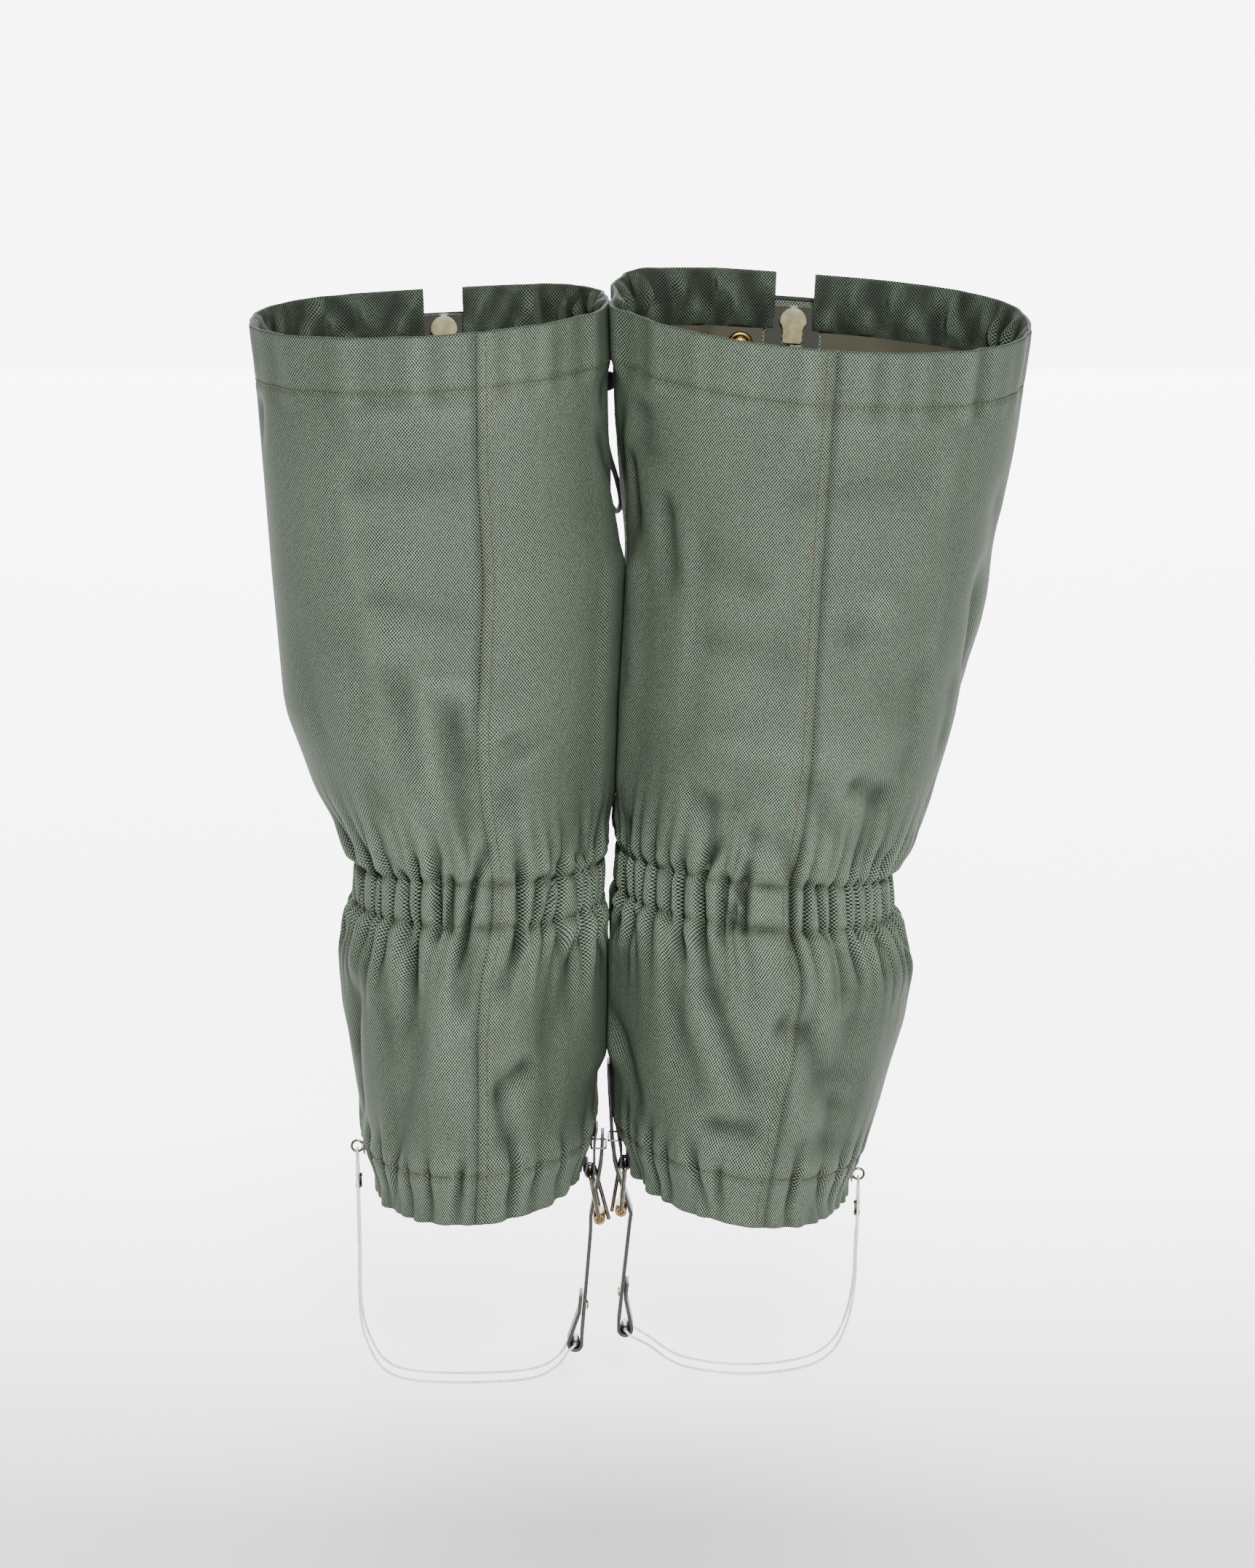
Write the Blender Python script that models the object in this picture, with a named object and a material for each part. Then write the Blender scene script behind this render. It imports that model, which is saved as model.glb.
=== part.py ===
"""A pair of zip-front gaiters, shaped as they sit when worn over a pair of boots. The boots aren't part of them.

Sizes are in millimetres and become metres where each mesh is made. +Z is up and the toes point to +Y. The plane
between the boots is X = 0, and "across" is a distance outwards from it, so that both gaiters' sizes read the same
way. "Inner" is the side next to the other boot, "outer" the side away from it.
"""

import math
from dataclasses import dataclass

import bmesh
import bpy
from mathutils import Vector

MM = 0.001
GAP = 0.3  # between solids that touch

# Fabric and its folds
FABRIC = 0.9
SEAM_GAP = 0.4
FRONT_SQUARENESS = 3.2  # how flat the front is beside the zip; 2 would be an ellipse
BACK_COLUMNS = (0, 22.5, 45, 67.5, 90, 112.5, 135)  # degrees round from the back seam
FRONT_COLUMNS = (34, 17, 9, 0)  # distances from the zip's line; the panels end at the last but one
TOP = 507
HEM = 104
TOP_CASING = 26
HEM_CASING = 22
TOP_FOLD = 5.5
HEM_FOLD = 4.6

# Inner layers: (low, high, nearest the skin, furthest from the skin)
LINING = (258, 484, 1.6, 2.2)
ANKLE_ELASTIC = (236, 254, 1.3, 2.2)
HEM_ELASTIC = (107, 122, 1.9, 2.7)

# Zip
TAPE = (2.0, 12.5, -2.3, -1.7)  # across from the zip's line and out from the skin
TEETH = (1.2, 5.0, -3.9, -0.1)
SLIDER_HALF = 6.2
SLIDER_LENGTH = 17
SLIDER_PLATE = 1.3
PULL_LENGTH = 24
PULL_THICKNESS = 1.3
STOP_LENGTH = 6.5

# Storm flap
FLAP_LOW = 120
FLAP_HIGH = 494
FLAP_HINGE = 22.5
FLAP_HINGE_LIFT = 0.75
FLAP_THICKNESS = 1.0
FLAP_SECTION = ((15, 3.6), (9, 6.2), (0, 6.4), (-9, 6.2), (-17, 3.1), (-34, 3.1))
CLOSURE = (-18, -32)  # both halves of the touch tape, measured from the zip's line
CLOSURE_LOW = 128
CLOSURE_HIGH = 462
SNAP_HEIGHT = 474
SNAP_PLACE = -24

# Drawcord
CORD_RADIUS = 1.3
CASING_CORD_DEPTH = 2.75
CORD_HEIGHT = 494
EYELET_SPACING = 11
EYELET_RADIUS = 1.75
LOCK_DOWN = 30  # from the eyelets to the cord lock's middle
LOCK_LIFT = 6
LOCK_RADIUS = 4.7
LOCK_BORE = 3.3
LOCK_ENDS = (-7.5, 6)
PLUNGER_RADIUS = 2.9
PLUNGER_TRAVEL = 3

# Underfoot strap and cable
STRAP_HALF = 7.5
STRAP_THICKNESS = 1.6
TAB_HALF = 8
TAB_THICKNESS = 1.2
WIRE = 1.0  # radius of the buckle's wire
BUCKLE_HALF = 10.5
ROLLER_RADIUS = 2.75
ROLLER_HALF = 8.3
TONGUE_RADIUS = 0.95
TUBE_RADIUS = 1.9
TUBE_HALF = 6.5
CABLE_RADIUS = 0.6
CABLE_SPREAD = 8


@dataclass
class Gaiter:
    """One gaiter's own shape, because each boot leans its own way."""

    name: str
    sign: int
    rows: tuple  # height, outer side, inner side, back, rise to the inner side, rise to the front, seam's angle
    zip_foot: tuple  # across, y, z
    zip_head: tuple
    lock_place: float  # in columns from the back seam, on the inner side
    loop_lifts: tuple  # how far the cord's hanging loop stands off as it goes down
    strap_y: float
    roller: tuple  # across, z
    pivot: tuple
    tube: tuple
    tail: tuple  # the strap's route above the buckle
    tab: tuple  # the buckle tab's route down the hem
    cable: tuple  # (across, z) from the anchor eye, under the sole, to the tube
    eye: tuple  # across, z


LEFT = Gaiter(
    name="left",
    sign=-1,
    rows=(
        (104, 106.5, 14, -66, 0.09, 0.06, -1),
        (124, 112, 7, -70, 0.07, 0.05, -1.5),
        (150, 118, 4, -72, 0.04, 0.03, -3),
        (185, 125, 2, -73, 0, 0, -5),
        (213, 125.5, 2, -70, 0, 0, -7),
        (234, 116, 4.5, -60, 0, 0, -8.5),
        (256, 115, 4.5, -58, 0, 0, -9),
        (272, 124, 0.5, -62, 0.01, 0, -9.5),
        (290, 136, -2, -65, 0.02, 0.01, -11),
        (328, 149.5, -3.5, -66, 0.03, 0.02, -13),
        (390, 154.5, -6.5, -65, 0.04, 0.04, -15),
        (447, 158.5, 0, -63, 0.05, 0.06, -16.5),
        (TOP, 163, 0.5, -62, 0.055, 0.07, -17.5),
    ),
    zip_foot=(62, 90, 112),
    zip_head=(76.3, 60, 500),
    lock_place=5.5,
    loop_lifts=(6.5, 8, 11, 13, 14),
    strap_y=-7,
    roller=(4.4, 88),
    pivot=(8.8, 110),
    tube=(15.7, 28),
    tail=((4.5, 109), (3.5, 116), (3.1, 122), (2.9, 128)),
    tab=((5.5, 131), (6.3, 126), (6.7, 122), (6.8, 116), (6.8, 111)),
    cable=((115.7, 80), (115.2, 44), (111.5, 28), (104, 16), (90, 11), (62, 10), (36, 12), (24, 18)),
    eye=(116.4, 121),
)

RIGHT = Gaiter(
    name="right",
    sign=1,
    rows=(
        (104, 108, 11.5, -67, 0.15, 0.06, 11.5),
        (124, 115.5, 4, -71, 0.13, 0.05, 12),
        (150, 125, 1.5, -74, 0.1, 0.03, 12),
        (185, 136.5, 1, -75, 0.08, 0, 12.5),
        (213, 139.5, 2, -72, 0.09, 0, 13),
        (234, 129.5, 5, -62, 0.1, 0, 13),
        (256, 128.5, 6, -60, 0.1, 0, 13),
        (272, 139, 4.5, -64, 0.1, 0, 11.5),
        (290, 147.5, 4.5, -67, 0.09, 0.02, 9.5),
        (328, 160.5, 6, -68, 0.08, 0.05, 5.5),
        (390, 173, 9.5, -67, 0.078, 0.09, 1.5),
        (447, 183.5, 4, -66, 0.077, 0.13, 2),
        (TOP, 192, 1.2, -65, 0.075, 0.155, 2.5),
    ),
    zip_foot=(63, 92, 112),
    zip_head=(85.6, 66, 503),
    lock_place=6.5,
    loop_lifts=(5.5, 5, 5, 5, 5),
    strap_y=8,
    roller=(5.6, 88),
    pivot=(7.6, 110),
    tube=(7.5, 31),
    tail=((3.2, 109), (2.2, 116), (1.4, 122), (0.9, 134), (0.2, 146), (-0.2, 158)),
    tab=((2.6, 133), (3.7, 128), (4.7, 122), (5.6, 116), (5.6, 111)),
    cable=((115, 70), (114.2, 52), (111, 35), (104, 21), (90, 13), (62, 10), (34, 14), (18, 24)),
    eye=(116, 104),
)


def material(name, colour, roughness, metallic=0.0):
    made = bpy.data.materials.new(name)
    made.use_nodes = True
    shader = made.node_tree.nodes["Principled BSDF"]
    shader.inputs["Base Color"].default_value = (*colour, 1.0)
    shader.inputs["Roughness"].default_value = roughness
    shader.inputs["Metallic"].default_value = metallic
    return made


def row_at(gaiter, height):
    """The section's sizes at a height, between the two rows around it."""
    rows = gaiter.rows
    low = max(i for i in range(len(rows) - 1) if i == 0 or rows[i][0] <= height)
    share = (height - rows[low][0]) / (rows[low + 1][0] - rows[low][0])
    return [a + (b - a) * share for a, b in zip(rows[low], rows[low + 1])]


def zip_at(gaiter, z):
    """How far across and forward the straight zip line is at a height."""
    (x0, y0, z0), (x1, y1, z1) = gaiter.zip_foot, gaiter.zip_head
    share = (z - z0) / (z1 - z0)
    return x0 + (x1 - x0) * share, y0 + (y1 - y0) * share


def ring_point(gaiter, height, angle, lift):
    """A point of the section at a height: the angle is round from the middle of the back, positive on the outer side."""
    _, outer, inner, back, lean, rake, _ = row_at(gaiter, height)
    centre = (outer + inner) / 2
    half = (outer - inner) / 2
    front_z = height
    for _ in range(3):
        zip_across, front = zip_at(gaiter, front_z)
        depth = (front - back) / 2
        front_z = height + rake * depth - lean * (zip_across - centre)

    def outline(turn):
        side = math.sin(turn)
        ahead = -math.cos(turn)
        if ahead <= 0:
            return Vector((half * side, depth * ahead))
        power = 2 / FRONT_SQUARENESS
        across = math.copysign(half * abs(side) ** power, side)
        return Vector((across + (zip_across - centre) * ahead**2, depth * ahead**power))

    step = 0.01
    along = (outline(angle + step) - outline(angle - step)).normalized()
    place = outline(angle) + Vector((along.y, -along.x)) * lift
    z = height - lean * place.x + rake * place.y
    return Vector((gaiter.sign * (centre + place.x), (front + back) / 2 + place.y, z))


def column_angle(gaiter, height, side, column):
    """The angle of one of the columns that every layer shares, so that layers stay the same distance apart.

    The seam wanders off the middle of the back, and takes the columns on both sides of it along.
    """
    _, outer, inner, _, _, _, seam = row_at(gaiter, height)
    if column < len(BACK_COLUMNS):
        share = 1 - BACK_COLUMNS[column] / BACK_COLUMNS[-1]
        return math.radians(side * BACK_COLUMNS[column] + seam * share)
    beside = FRONT_COLUMNS[column - len(BACK_COLUMNS)]
    return side * (math.pi - math.asin((2 * beside / (outer - inner)) ** (FRONT_SQUARENESS / 2)))


def skin(gaiter, height, place, lift=0.0):
    """A point on the flat facets between columns: place counts columns from the back seam, negative on the inner side."""
    side = math.copysign(1, place)
    low = min(int(abs(place)), len(BACK_COLUMNS) + len(FRONT_COLUMNS) - 2)
    angles = [column_angle(gaiter, height, side, column) for column in (low, low + 1)]
    ends = [ring_point(gaiter, height, angle, lift) for angle in angles]
    return ends[0].lerp(ends[1], abs(place) - low)


def front_place(beside):
    """The place, in columns, of a distance from the zip's line."""
    far = abs(beside)
    index = max(i for i in range(len(FRONT_COLUMNS) - 1) if i == 0 or FRONT_COLUMNS[i] >= far)
    share = (FRONT_COLUMNS[index] - far) / (FRONT_COLUMNS[index] - FRONT_COLUMNS[index + 1])
    return math.copysign(len(BACK_COLUMNS) + index + share, beside)


def front(gaiter, height, beside, lift):
    return skin(gaiter, height, front_place(beside), lift)


def facet_frame(gaiter, height, place):
    """A point on the skin, the way towards the back seam along it, the way down it, and the way out of it."""
    point = skin(gaiter, height, place)
    toward_seam = math.copysign(0.05, place)
    back = (skin(gaiter, height, place - toward_seam) - skin(gaiter, height, place + toward_seam)).normalized()
    down = (skin(gaiter, height - 5, place) - skin(gaiter, height + 5, place)).normalized()
    out = back.cross(down).normalized()
    if out.dot(skin(gaiter, height, place, 1.0) - point) < 0:
        out = -out
    return point, back, down, out


def zip_frame(gaiter):
    """The zip line's foot, the way up it, the way towards the gaiter's outer side, and the way out of the front."""
    foot = Vector((gaiter.sign * gaiter.zip_foot[0], *gaiter.zip_foot[1:]))
    head = Vector((gaiter.sign * gaiter.zip_head[0], *gaiter.zip_head[1:]))
    up = (head - foot).normalized()
    outward = Vector((gaiter.sign, 0, 0))
    beside = (outward - up * outward.dot(up)).normalized()
    return foot, up, beside, up.cross(beside) * gaiter.sign


def zip_length(gaiter):
    return (Vector(gaiter.zip_head) - Vector(gaiter.zip_foot)).length


def zip_point(gaiter, along, beside, lift):
    foot, up, side, out = zip_frame(gaiter)
    return foot + up * along + side * beside + out * lift


def solid(gaiter, name, rings, finish, origin=None, closed=False, smooth=True, sheet=False):
    """An object whose skin runs over rings of points, with flat ends unless the rings close on themselves.

    A sheet's rings go out along one face and back along the other. Its facets all split along the same
    diagonal, the one that rises towards the front, so that one sheet lies evenly inside another.
    """
    origin = origin or Vector()
    shape = bmesh.new()
    loops = [[shape.verts.new((point - origin) * MM) for point in ring] for ring in rings]
    pairs = list(zip(loops, loops[1:]))
    if closed:
        pairs.append((loops[-1], loops[0]))
    elif sheet:
        for end in (loops[0], loops[-1]):
            for i in range(len(end) // 2 - 1):
                shape.faces.new((end[i], end[i + 1], end[-i - 2], end[-i - 1]))
    else:
        shape.faces.new(loops[0])
        shape.faces.new(loops[-1])
    for one, two in pairs:
        for i in range(len(one)):
            j = (i + 1) % len(one)
            a, b, c, d = one[i].co, one[j].co, two[j].co, two[i].co
            if not sheet:
                shape.faces.new((one[i], one[j], two[j], two[i]))
            elif (c.z - a.z) * (c.y - a.y) > (d.z - b.z) * (d.y - b.y):
                shape.faces.new((one[i], one[j], two[j]))
                shape.faces.new((one[i], two[j], two[i]))
            else:
                shape.faces.new((one[i], one[j], two[i]))
                shape.faces.new((one[j], two[j], two[i]))
    bmesh.ops.recalc_face_normals(shape, faces=shape.faces)
    mesh = bpy.data.meshes.new(name)
    shape.to_mesh(mesh)
    shape.free()
    if smooth:
        mesh.shade_smooth()
        mesh.set_sharp_from_angle(angle=math.radians(35))
    made = bpy.data.objects.new(f"{gaiter.name}_{name}", mesh)
    made.location = origin * MM
    made.data.materials.append(finish)
    bpy.context.collection.objects.link(made)
    return made


def tube(gaiter, name, points, radius, finish, origin=None, cyclic=False):
    """A round cord or wire along a line of points."""
    origin = origin or Vector()
    curve = bpy.data.curves.new(name, "CURVE")
    curve.dimensions = "3D"
    curve.bevel_depth = radius * MM
    curve.bevel_resolution = 2
    curve.use_fill_caps = not cyclic
    line = curve.splines.new("POLY")
    line.points.add(len(points) - 1)
    for knot, point in zip(line.points, points):
        knot.co = (*((point - origin) * MM), 1.0)
    line.use_cyclic_u = cyclic
    made = bpy.data.objects.new(f"{gaiter.name}_{name}", curve)
    made.location = origin * MM
    made.data.materials.append(finish)
    bpy.context.collection.objects.link(made)
    return made


def boolean(target, tool, operation):
    tool.hide_render = True
    tool.display_type = "WIRE"
    change = target.modifiers.new(tool.name, "BOOLEAN")
    change.operation = operation
    change.solver = "EXACT"
    change.object = tool


def circle(centre, axis, radius, count, first=None):
    first = first or axis.cross(Vector((0.31, 0.17, 0.93))).normalized()
    second = axis.cross(first).normalized()
    turns = [2 * math.pi * i / count for i in range(count)]
    return [centre + (first * math.cos(a) + second * math.sin(a)) * radius for a in turns]


def turned(gaiter, name, centre, axis, profile, finish, count=14, origin=None, closed=False):
    """A turned piece: the profile is (radius, distance along the axis)."""
    rings = [circle(centre + axis * along, axis, radius, count) for radius, along in profile]
    return solid(gaiter, name, rings, finish, origin=origin, closed=closed)


def rounded(route, per_corner=3, radius=2.5):
    """The route with each of its corners cut to a short arc."""
    done = [route[0]]
    for before, corner, after in zip(route, route[1:], route[2:]):
        to_before = before - corner
        to_after = after - corner
        start = corner + to_before.normalized() * min(radius, to_before.length * 0.45)
        end = corner + to_after.normalized() * min(radius, to_after.length * 0.45)
        for i in range(per_corner + 1):
            t = i / per_corner
            done.append(start.lerp(corner, t).lerp(corner.lerp(end, t), t))
    done.append(route[-1])
    return done


def smooth_line(knots, spacing):
    """Points about one spacing apart on a smooth curve through the knots."""
    ends = [knots[0] * 2 - knots[1], *knots, knots[-1] * 2 - knots[-2]]
    line = [knots[0]]
    for a, b, c, d in zip(ends, ends[1:], ends[2:], ends[3:]):
        steps = max(1, round((c - b).length / spacing))
        for i in range(1, steps + 1):
            t = i / steps
            bend = (2 * a - 5 * b + 4 * c - d) * t * t + (3 * b - a - 3 * c + d) * t**3
            line.append(b + ((c - a) * t + bend) / 2)
    return line


def ribbon(path, thickness):
    """The closed outline of a strip of leather seen edge on, along a path of (across, z)."""
    sides = ([], [])
    for i, point in enumerate(path):
        before = path[max(i - 1, 0)]
        after = path[min(i + 1, len(path) - 1)]
        along = (Vector(after) - Vector(before)).normalized()
        for side, sense in zip(sides, (0.5, -0.5)):
            side.append(Vector(point) + Vector((-along.y, along.x)) * thickness * sense)
    return sides[0] + sides[1][::-1]


def across_y(gaiter, outline, low, high):
    """The two ends of a piece with the same (across, z) outline all along Y."""
    return [[Vector((gaiter.sign * a, gaiter.strap_y + y, z)) for a, z in outline] for y in (low, high)]


def arc(centre, radius, first, last, count):
    """Points round a centre, in degrees from the outward direction towards up."""
    turns = [math.radians(first + (last - first) * i / count) for i in range(count + 1)]
    return [(centre[0] + radius * math.cos(a), centre[1] + radius * math.sin(a)) for a in turns]


def heights(gaiter, low, high):
    """The heights of the rows between two levels, with the levels themselves."""
    return [low, *(row[0] for row in gaiter.rows if low + 2 < row[0] < high - 2), high]


def panel(gaiter, name, side, finish):
    """Half of the leg, from the back seam to the zip, with its top and bottom edges folded in as casings."""
    levels = heights(gaiter, HEM, TOP)
    outside = [(HEM + HEM_CASING, -HEM_FOLD), (HEM, -HEM_FOLD), (HEM - 1, 0.7 - HEM_FOLD), (HEM - 1, -0.7)]
    outside += [(level, 0) for level in levels]
    outside += [(TOP + 1, -0.9), (TOP + 1, 0.9 - TOP_FOLD), (TOP, -TOP_FOLD), (TOP - TOP_CASING, -TOP_FOLD)]
    hem_inside = FABRIC - HEM_FOLD
    top_inside = FABRIC - TOP_FOLD
    inside = [(HEM + HEM_CASING, hem_inside), (HEM, hem_inside), (HEM, hem_inside + 0.6), (HEM, -FABRIC - 0.6)]
    inside += [(level, -FABRIC) for level in levels]
    inside += [(TOP, -FABRIC - 0.6), (TOP, top_inside + 0.6), (TOP, top_inside), (TOP - TOP_CASING, top_inside)]
    profile = outside + inside[::-1]
    rings = []
    for column in range(len(BACK_COLUMNS) + len(FRONT_COLUMNS) - 1):
        place = side * max(column, SEAM_GAP / 50)
        rings.append([skin(gaiter, level, place, lift) for level, lift in profile])
    return solid(gaiter, name, rings, finish, sheet=True)


def layer(gaiter, name, sizes, finish):
    """A band or lining inside both panels, from one zip tape round the back to the other."""
    low, high, near, far = sizes
    levels = heights(gaiter, low, high)
    profile = [(level, -near) for level in levels] + [(level, -far) for level in levels[::-1]]
    last = len(BACK_COLUMNS) + 1
    rings = [[skin(gaiter, level, place, lift) for level, lift in profile] for place in range(-last, last + 1)]
    return solid(gaiter, name, rings, finish, sheet=True)


def patch(gaiter, name, low, high, sides, lifts, finish, origin=None):
    """A strip of tape on the front, between two distances from the zip's line."""
    rings = []
    for level in heights(gaiter, low, high):
        corners = [(sides[0], lifts[0]), (sides[1], lifts[0]), (sides[1], lifts[1]), (sides[0], lifts[1])]
        rings.append([front(gaiter, level, beside, lift) for beside, lift in corners])
    return solid(gaiter, name, rings, finish, origin=origin, smooth=False, sheet=True)


def fabric_parts(gaiter, finishes):
    outer = panel(gaiter, "outer_panel", 1, finishes["fabric"])
    inner = panel(gaiter, "inner_panel", -1, finishes["fabric"])
    lining = layer(gaiter, "lining", LINING, finishes["lining"])
    layer(gaiter, "ankle_elastic", ANKLE_ELASTIC, finishes["elastic"])
    layer(gaiter, "hem_elastic", HEM_ELASTIC, finishes["elastic"])
    return outer, inner, lining


def zip_parts(gaiter, finishes):
    length = zip_length(gaiter)
    for name, side in (("zip_tape_outer", 1), ("zip_tape_inner", -1)):
        inside, edge, under, over = TAPE
        bead_in, bead_out, bead_under, bead_over = TEETH
        outline = [(bead_in, bead_under), (bead_out, bead_under), (bead_out, under), (edge, under)]
        outline += [(edge, over), (bead_out, over), (bead_out, bead_over), (bead_in, bead_over)]
        ends = (2, length)
        rings = [[zip_point(gaiter, along, side * beside, lift) for beside, lift in outline] for along in ends]
        solid(gaiter, name, rings, finishes["zip"], smooth=False)
    block = [(-7, -4.5), (7, -4.5), (7, 1.6), (-7, 1.6)]
    ends = (1.6 - STOP_LENGTH, 1.6)
    rings = [[zip_point(gaiter, along, beside, lift) for beside, lift in block] for along in ends]
    solid(gaiter, "zip_stop", rings, finishes["zip"], smooth=False)
    slider(gaiter, finishes["slider"])


def slider(gaiter, finish):
    """Two plates joined by a web that runs between the teeth, with a bail for the pull."""
    top = zip_length(gaiter)
    under = TEETH[2] - 0.4
    over = TEETH[3] + 0.4
    tape_under = TAPE[2] - 0.4
    tape_over = TAPE[3] + 0.4
    web = 0.8
    flange = SLIDER_HALF - 0.8
    half = [(web, over), (flange, over), (flange, tape_over), (SLIDER_HALF, tape_over)]
    half += [(SLIDER_HALF, over + SLIDER_PLATE)]
    low_half = [(SLIDER_HALF, under - SLIDER_PLATE), (SLIDER_HALF, tape_under), (flange, tape_under)]
    low_half += [(flange, under), (web, under)]
    right_side = low_half + half
    outline = right_side + [(-beside, lift) for beside, lift in right_side[::-1]]
    origin = zip_point(gaiter, top - SLIDER_LENGTH / 2, 0, 0)
    ends = (top - SLIDER_LENGTH, top)
    rings = [[zip_point(gaiter, along, beside, lift) for beside, lift in outline] for along in ends]
    body = solid(gaiter, "zip_slider", rings, finish, origin=origin, smooth=False)

    hinge = top - 5
    plate_top = over + SLIDER_PLATE
    window = ((hinge - 2.2, plate_top - 0.5), (hinge - 2.2, plate_top + 2.2))
    window += ((hinge + 2.2, plate_top + 2.2), (hinge + 2.2, plate_top - 0.5))
    arch = [(hinge + 3.4, plate_top - 0.5), (hinge + 3.4, plate_top + 3.2)]
    arch += [(hinge - 3.4, plate_top + 3.2), (hinge - 3.4, plate_top - 0.5)]
    outline = list(window) + arch
    rings = [[zip_point(gaiter, along, beside, lift) for along, lift in outline] for beside in (-1.1, 1.1)]
    bail = solid(gaiter, "slider_bail", rings, finish, smooth=False)
    boolean(body, bail, "UNION")

    axis_lift = plate_top + 1.1
    pivot = zip_point(gaiter, hinge, 0, axis_lift)
    low_lift = axis_lift - PULL_THICKNESS / 2
    high_lift = axis_lift + PULL_THICKNESS / 2
    outside = [(3.4, 1), (3.4, -PULL_LENGTH + 2), (2.2, -PULL_LENGTH), (-2.2, -PULL_LENGTH)]
    outside += [(-3.4, -PULL_LENGTH + 2), (-3.4, 1)]
    sides = (low_lift, high_lift)
    rings = [[zip_point(gaiter, hinge + down, beside, lift) for beside, down in outside] for lift in sides]
    pull = solid(gaiter, "zip_pull", rings, finish, origin=pivot, smooth=False)
    slot = [(1.7, -1.1), (1.7, -6), (-1.7, -6), (-1.7, -1.1)]
    sides = (low_lift - 1, high_lift + 1)
    rings = [[zip_point(gaiter, hinge + down, beside, lift) for beside, down in slot] for lift in sides]
    boolean(pull, solid(gaiter, "pull_slot", rings, finish, smooth=False), "DIFFERENCE")


def flap_parts(gaiter, finishes, inner_panel, lining):
    """The storm flap turns on its straight sewn edge, and carries the hooked tape and the snap's cap."""
    _, up, _, out = zip_frame(gaiter)
    hinge = zip_point(gaiter, 0, FLAP_HINGE, FLAP_HINGE_LIFT)
    rings = []
    for level in heights(gaiter, FLAP_LOW, FLAP_HIGH):
        z = front(gaiter, level, FLAP_HINGE, 0).z
        edge = hinge + up * ((z - hinge.z) / up.z)
        face = [front(gaiter, level, beside, lift) for beside, lift in FLAP_SECTION]
        cover = [front(gaiter, level, beside, lift + FLAP_THICKNESS) for beside, lift in FLAP_SECTION]
        rings.append([edge - out * FLAP_THICKNESS / 2, *face, *cover[::-1], edge + out * FLAP_THICKNESS / 2])
    flap = solid(gaiter, "storm_flap", rings, finishes["fabric"], origin=hinge, sheet=True)
    touch = (CLOSURE_LOW, CLOSURE_HIGH, CLOSURE)
    patch(gaiter, "loop_tape", *touch, (GAP, 1.3), finishes["touch_tape"])
    patch(gaiter, "hook_tape", *touch, (1.6, 2.8), finishes["touch_tape"], origin=hinge)

    place, _, _, normal = facet_frame(gaiter, SNAP_HEIGHT, front_place(SNAP_PLACE))
    stud = [(2.2, -2.9), (2.6, -3.9), (5.4, -3.9), (6, -3.3), (6, -2.5), (1.9, -2.4), (1.9, 0.35)]
    stud += [(4.5, 0.35), (4.5, 0.9), (3, 1), (3, 1.8)]
    turned(gaiter, "snap_stud", place, normal, stud, finishes["brass"])
    cap = [(4.6, 2.1), (4.6, 2.75), (1.9, 2.8), (1.9, 4.4), (6.2, 4.45), (6.2, 5.1), (4.8, 5.8)]
    turned(gaiter, "snap_cap", place, normal, cap, finishes["brass"], origin=hinge)
    for target, low, high in ((inner_panel, -1.3, 0.6), (lining, -2.3, -1.2), (flap, 2.9, 4.3)):
        drill = turned(gaiter, f"{target.name}_drill", place, normal, [(2.3, low), (2.3, high)], finishes["brass"])
        boolean(target, drill, "DIFFERENCE")


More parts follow.
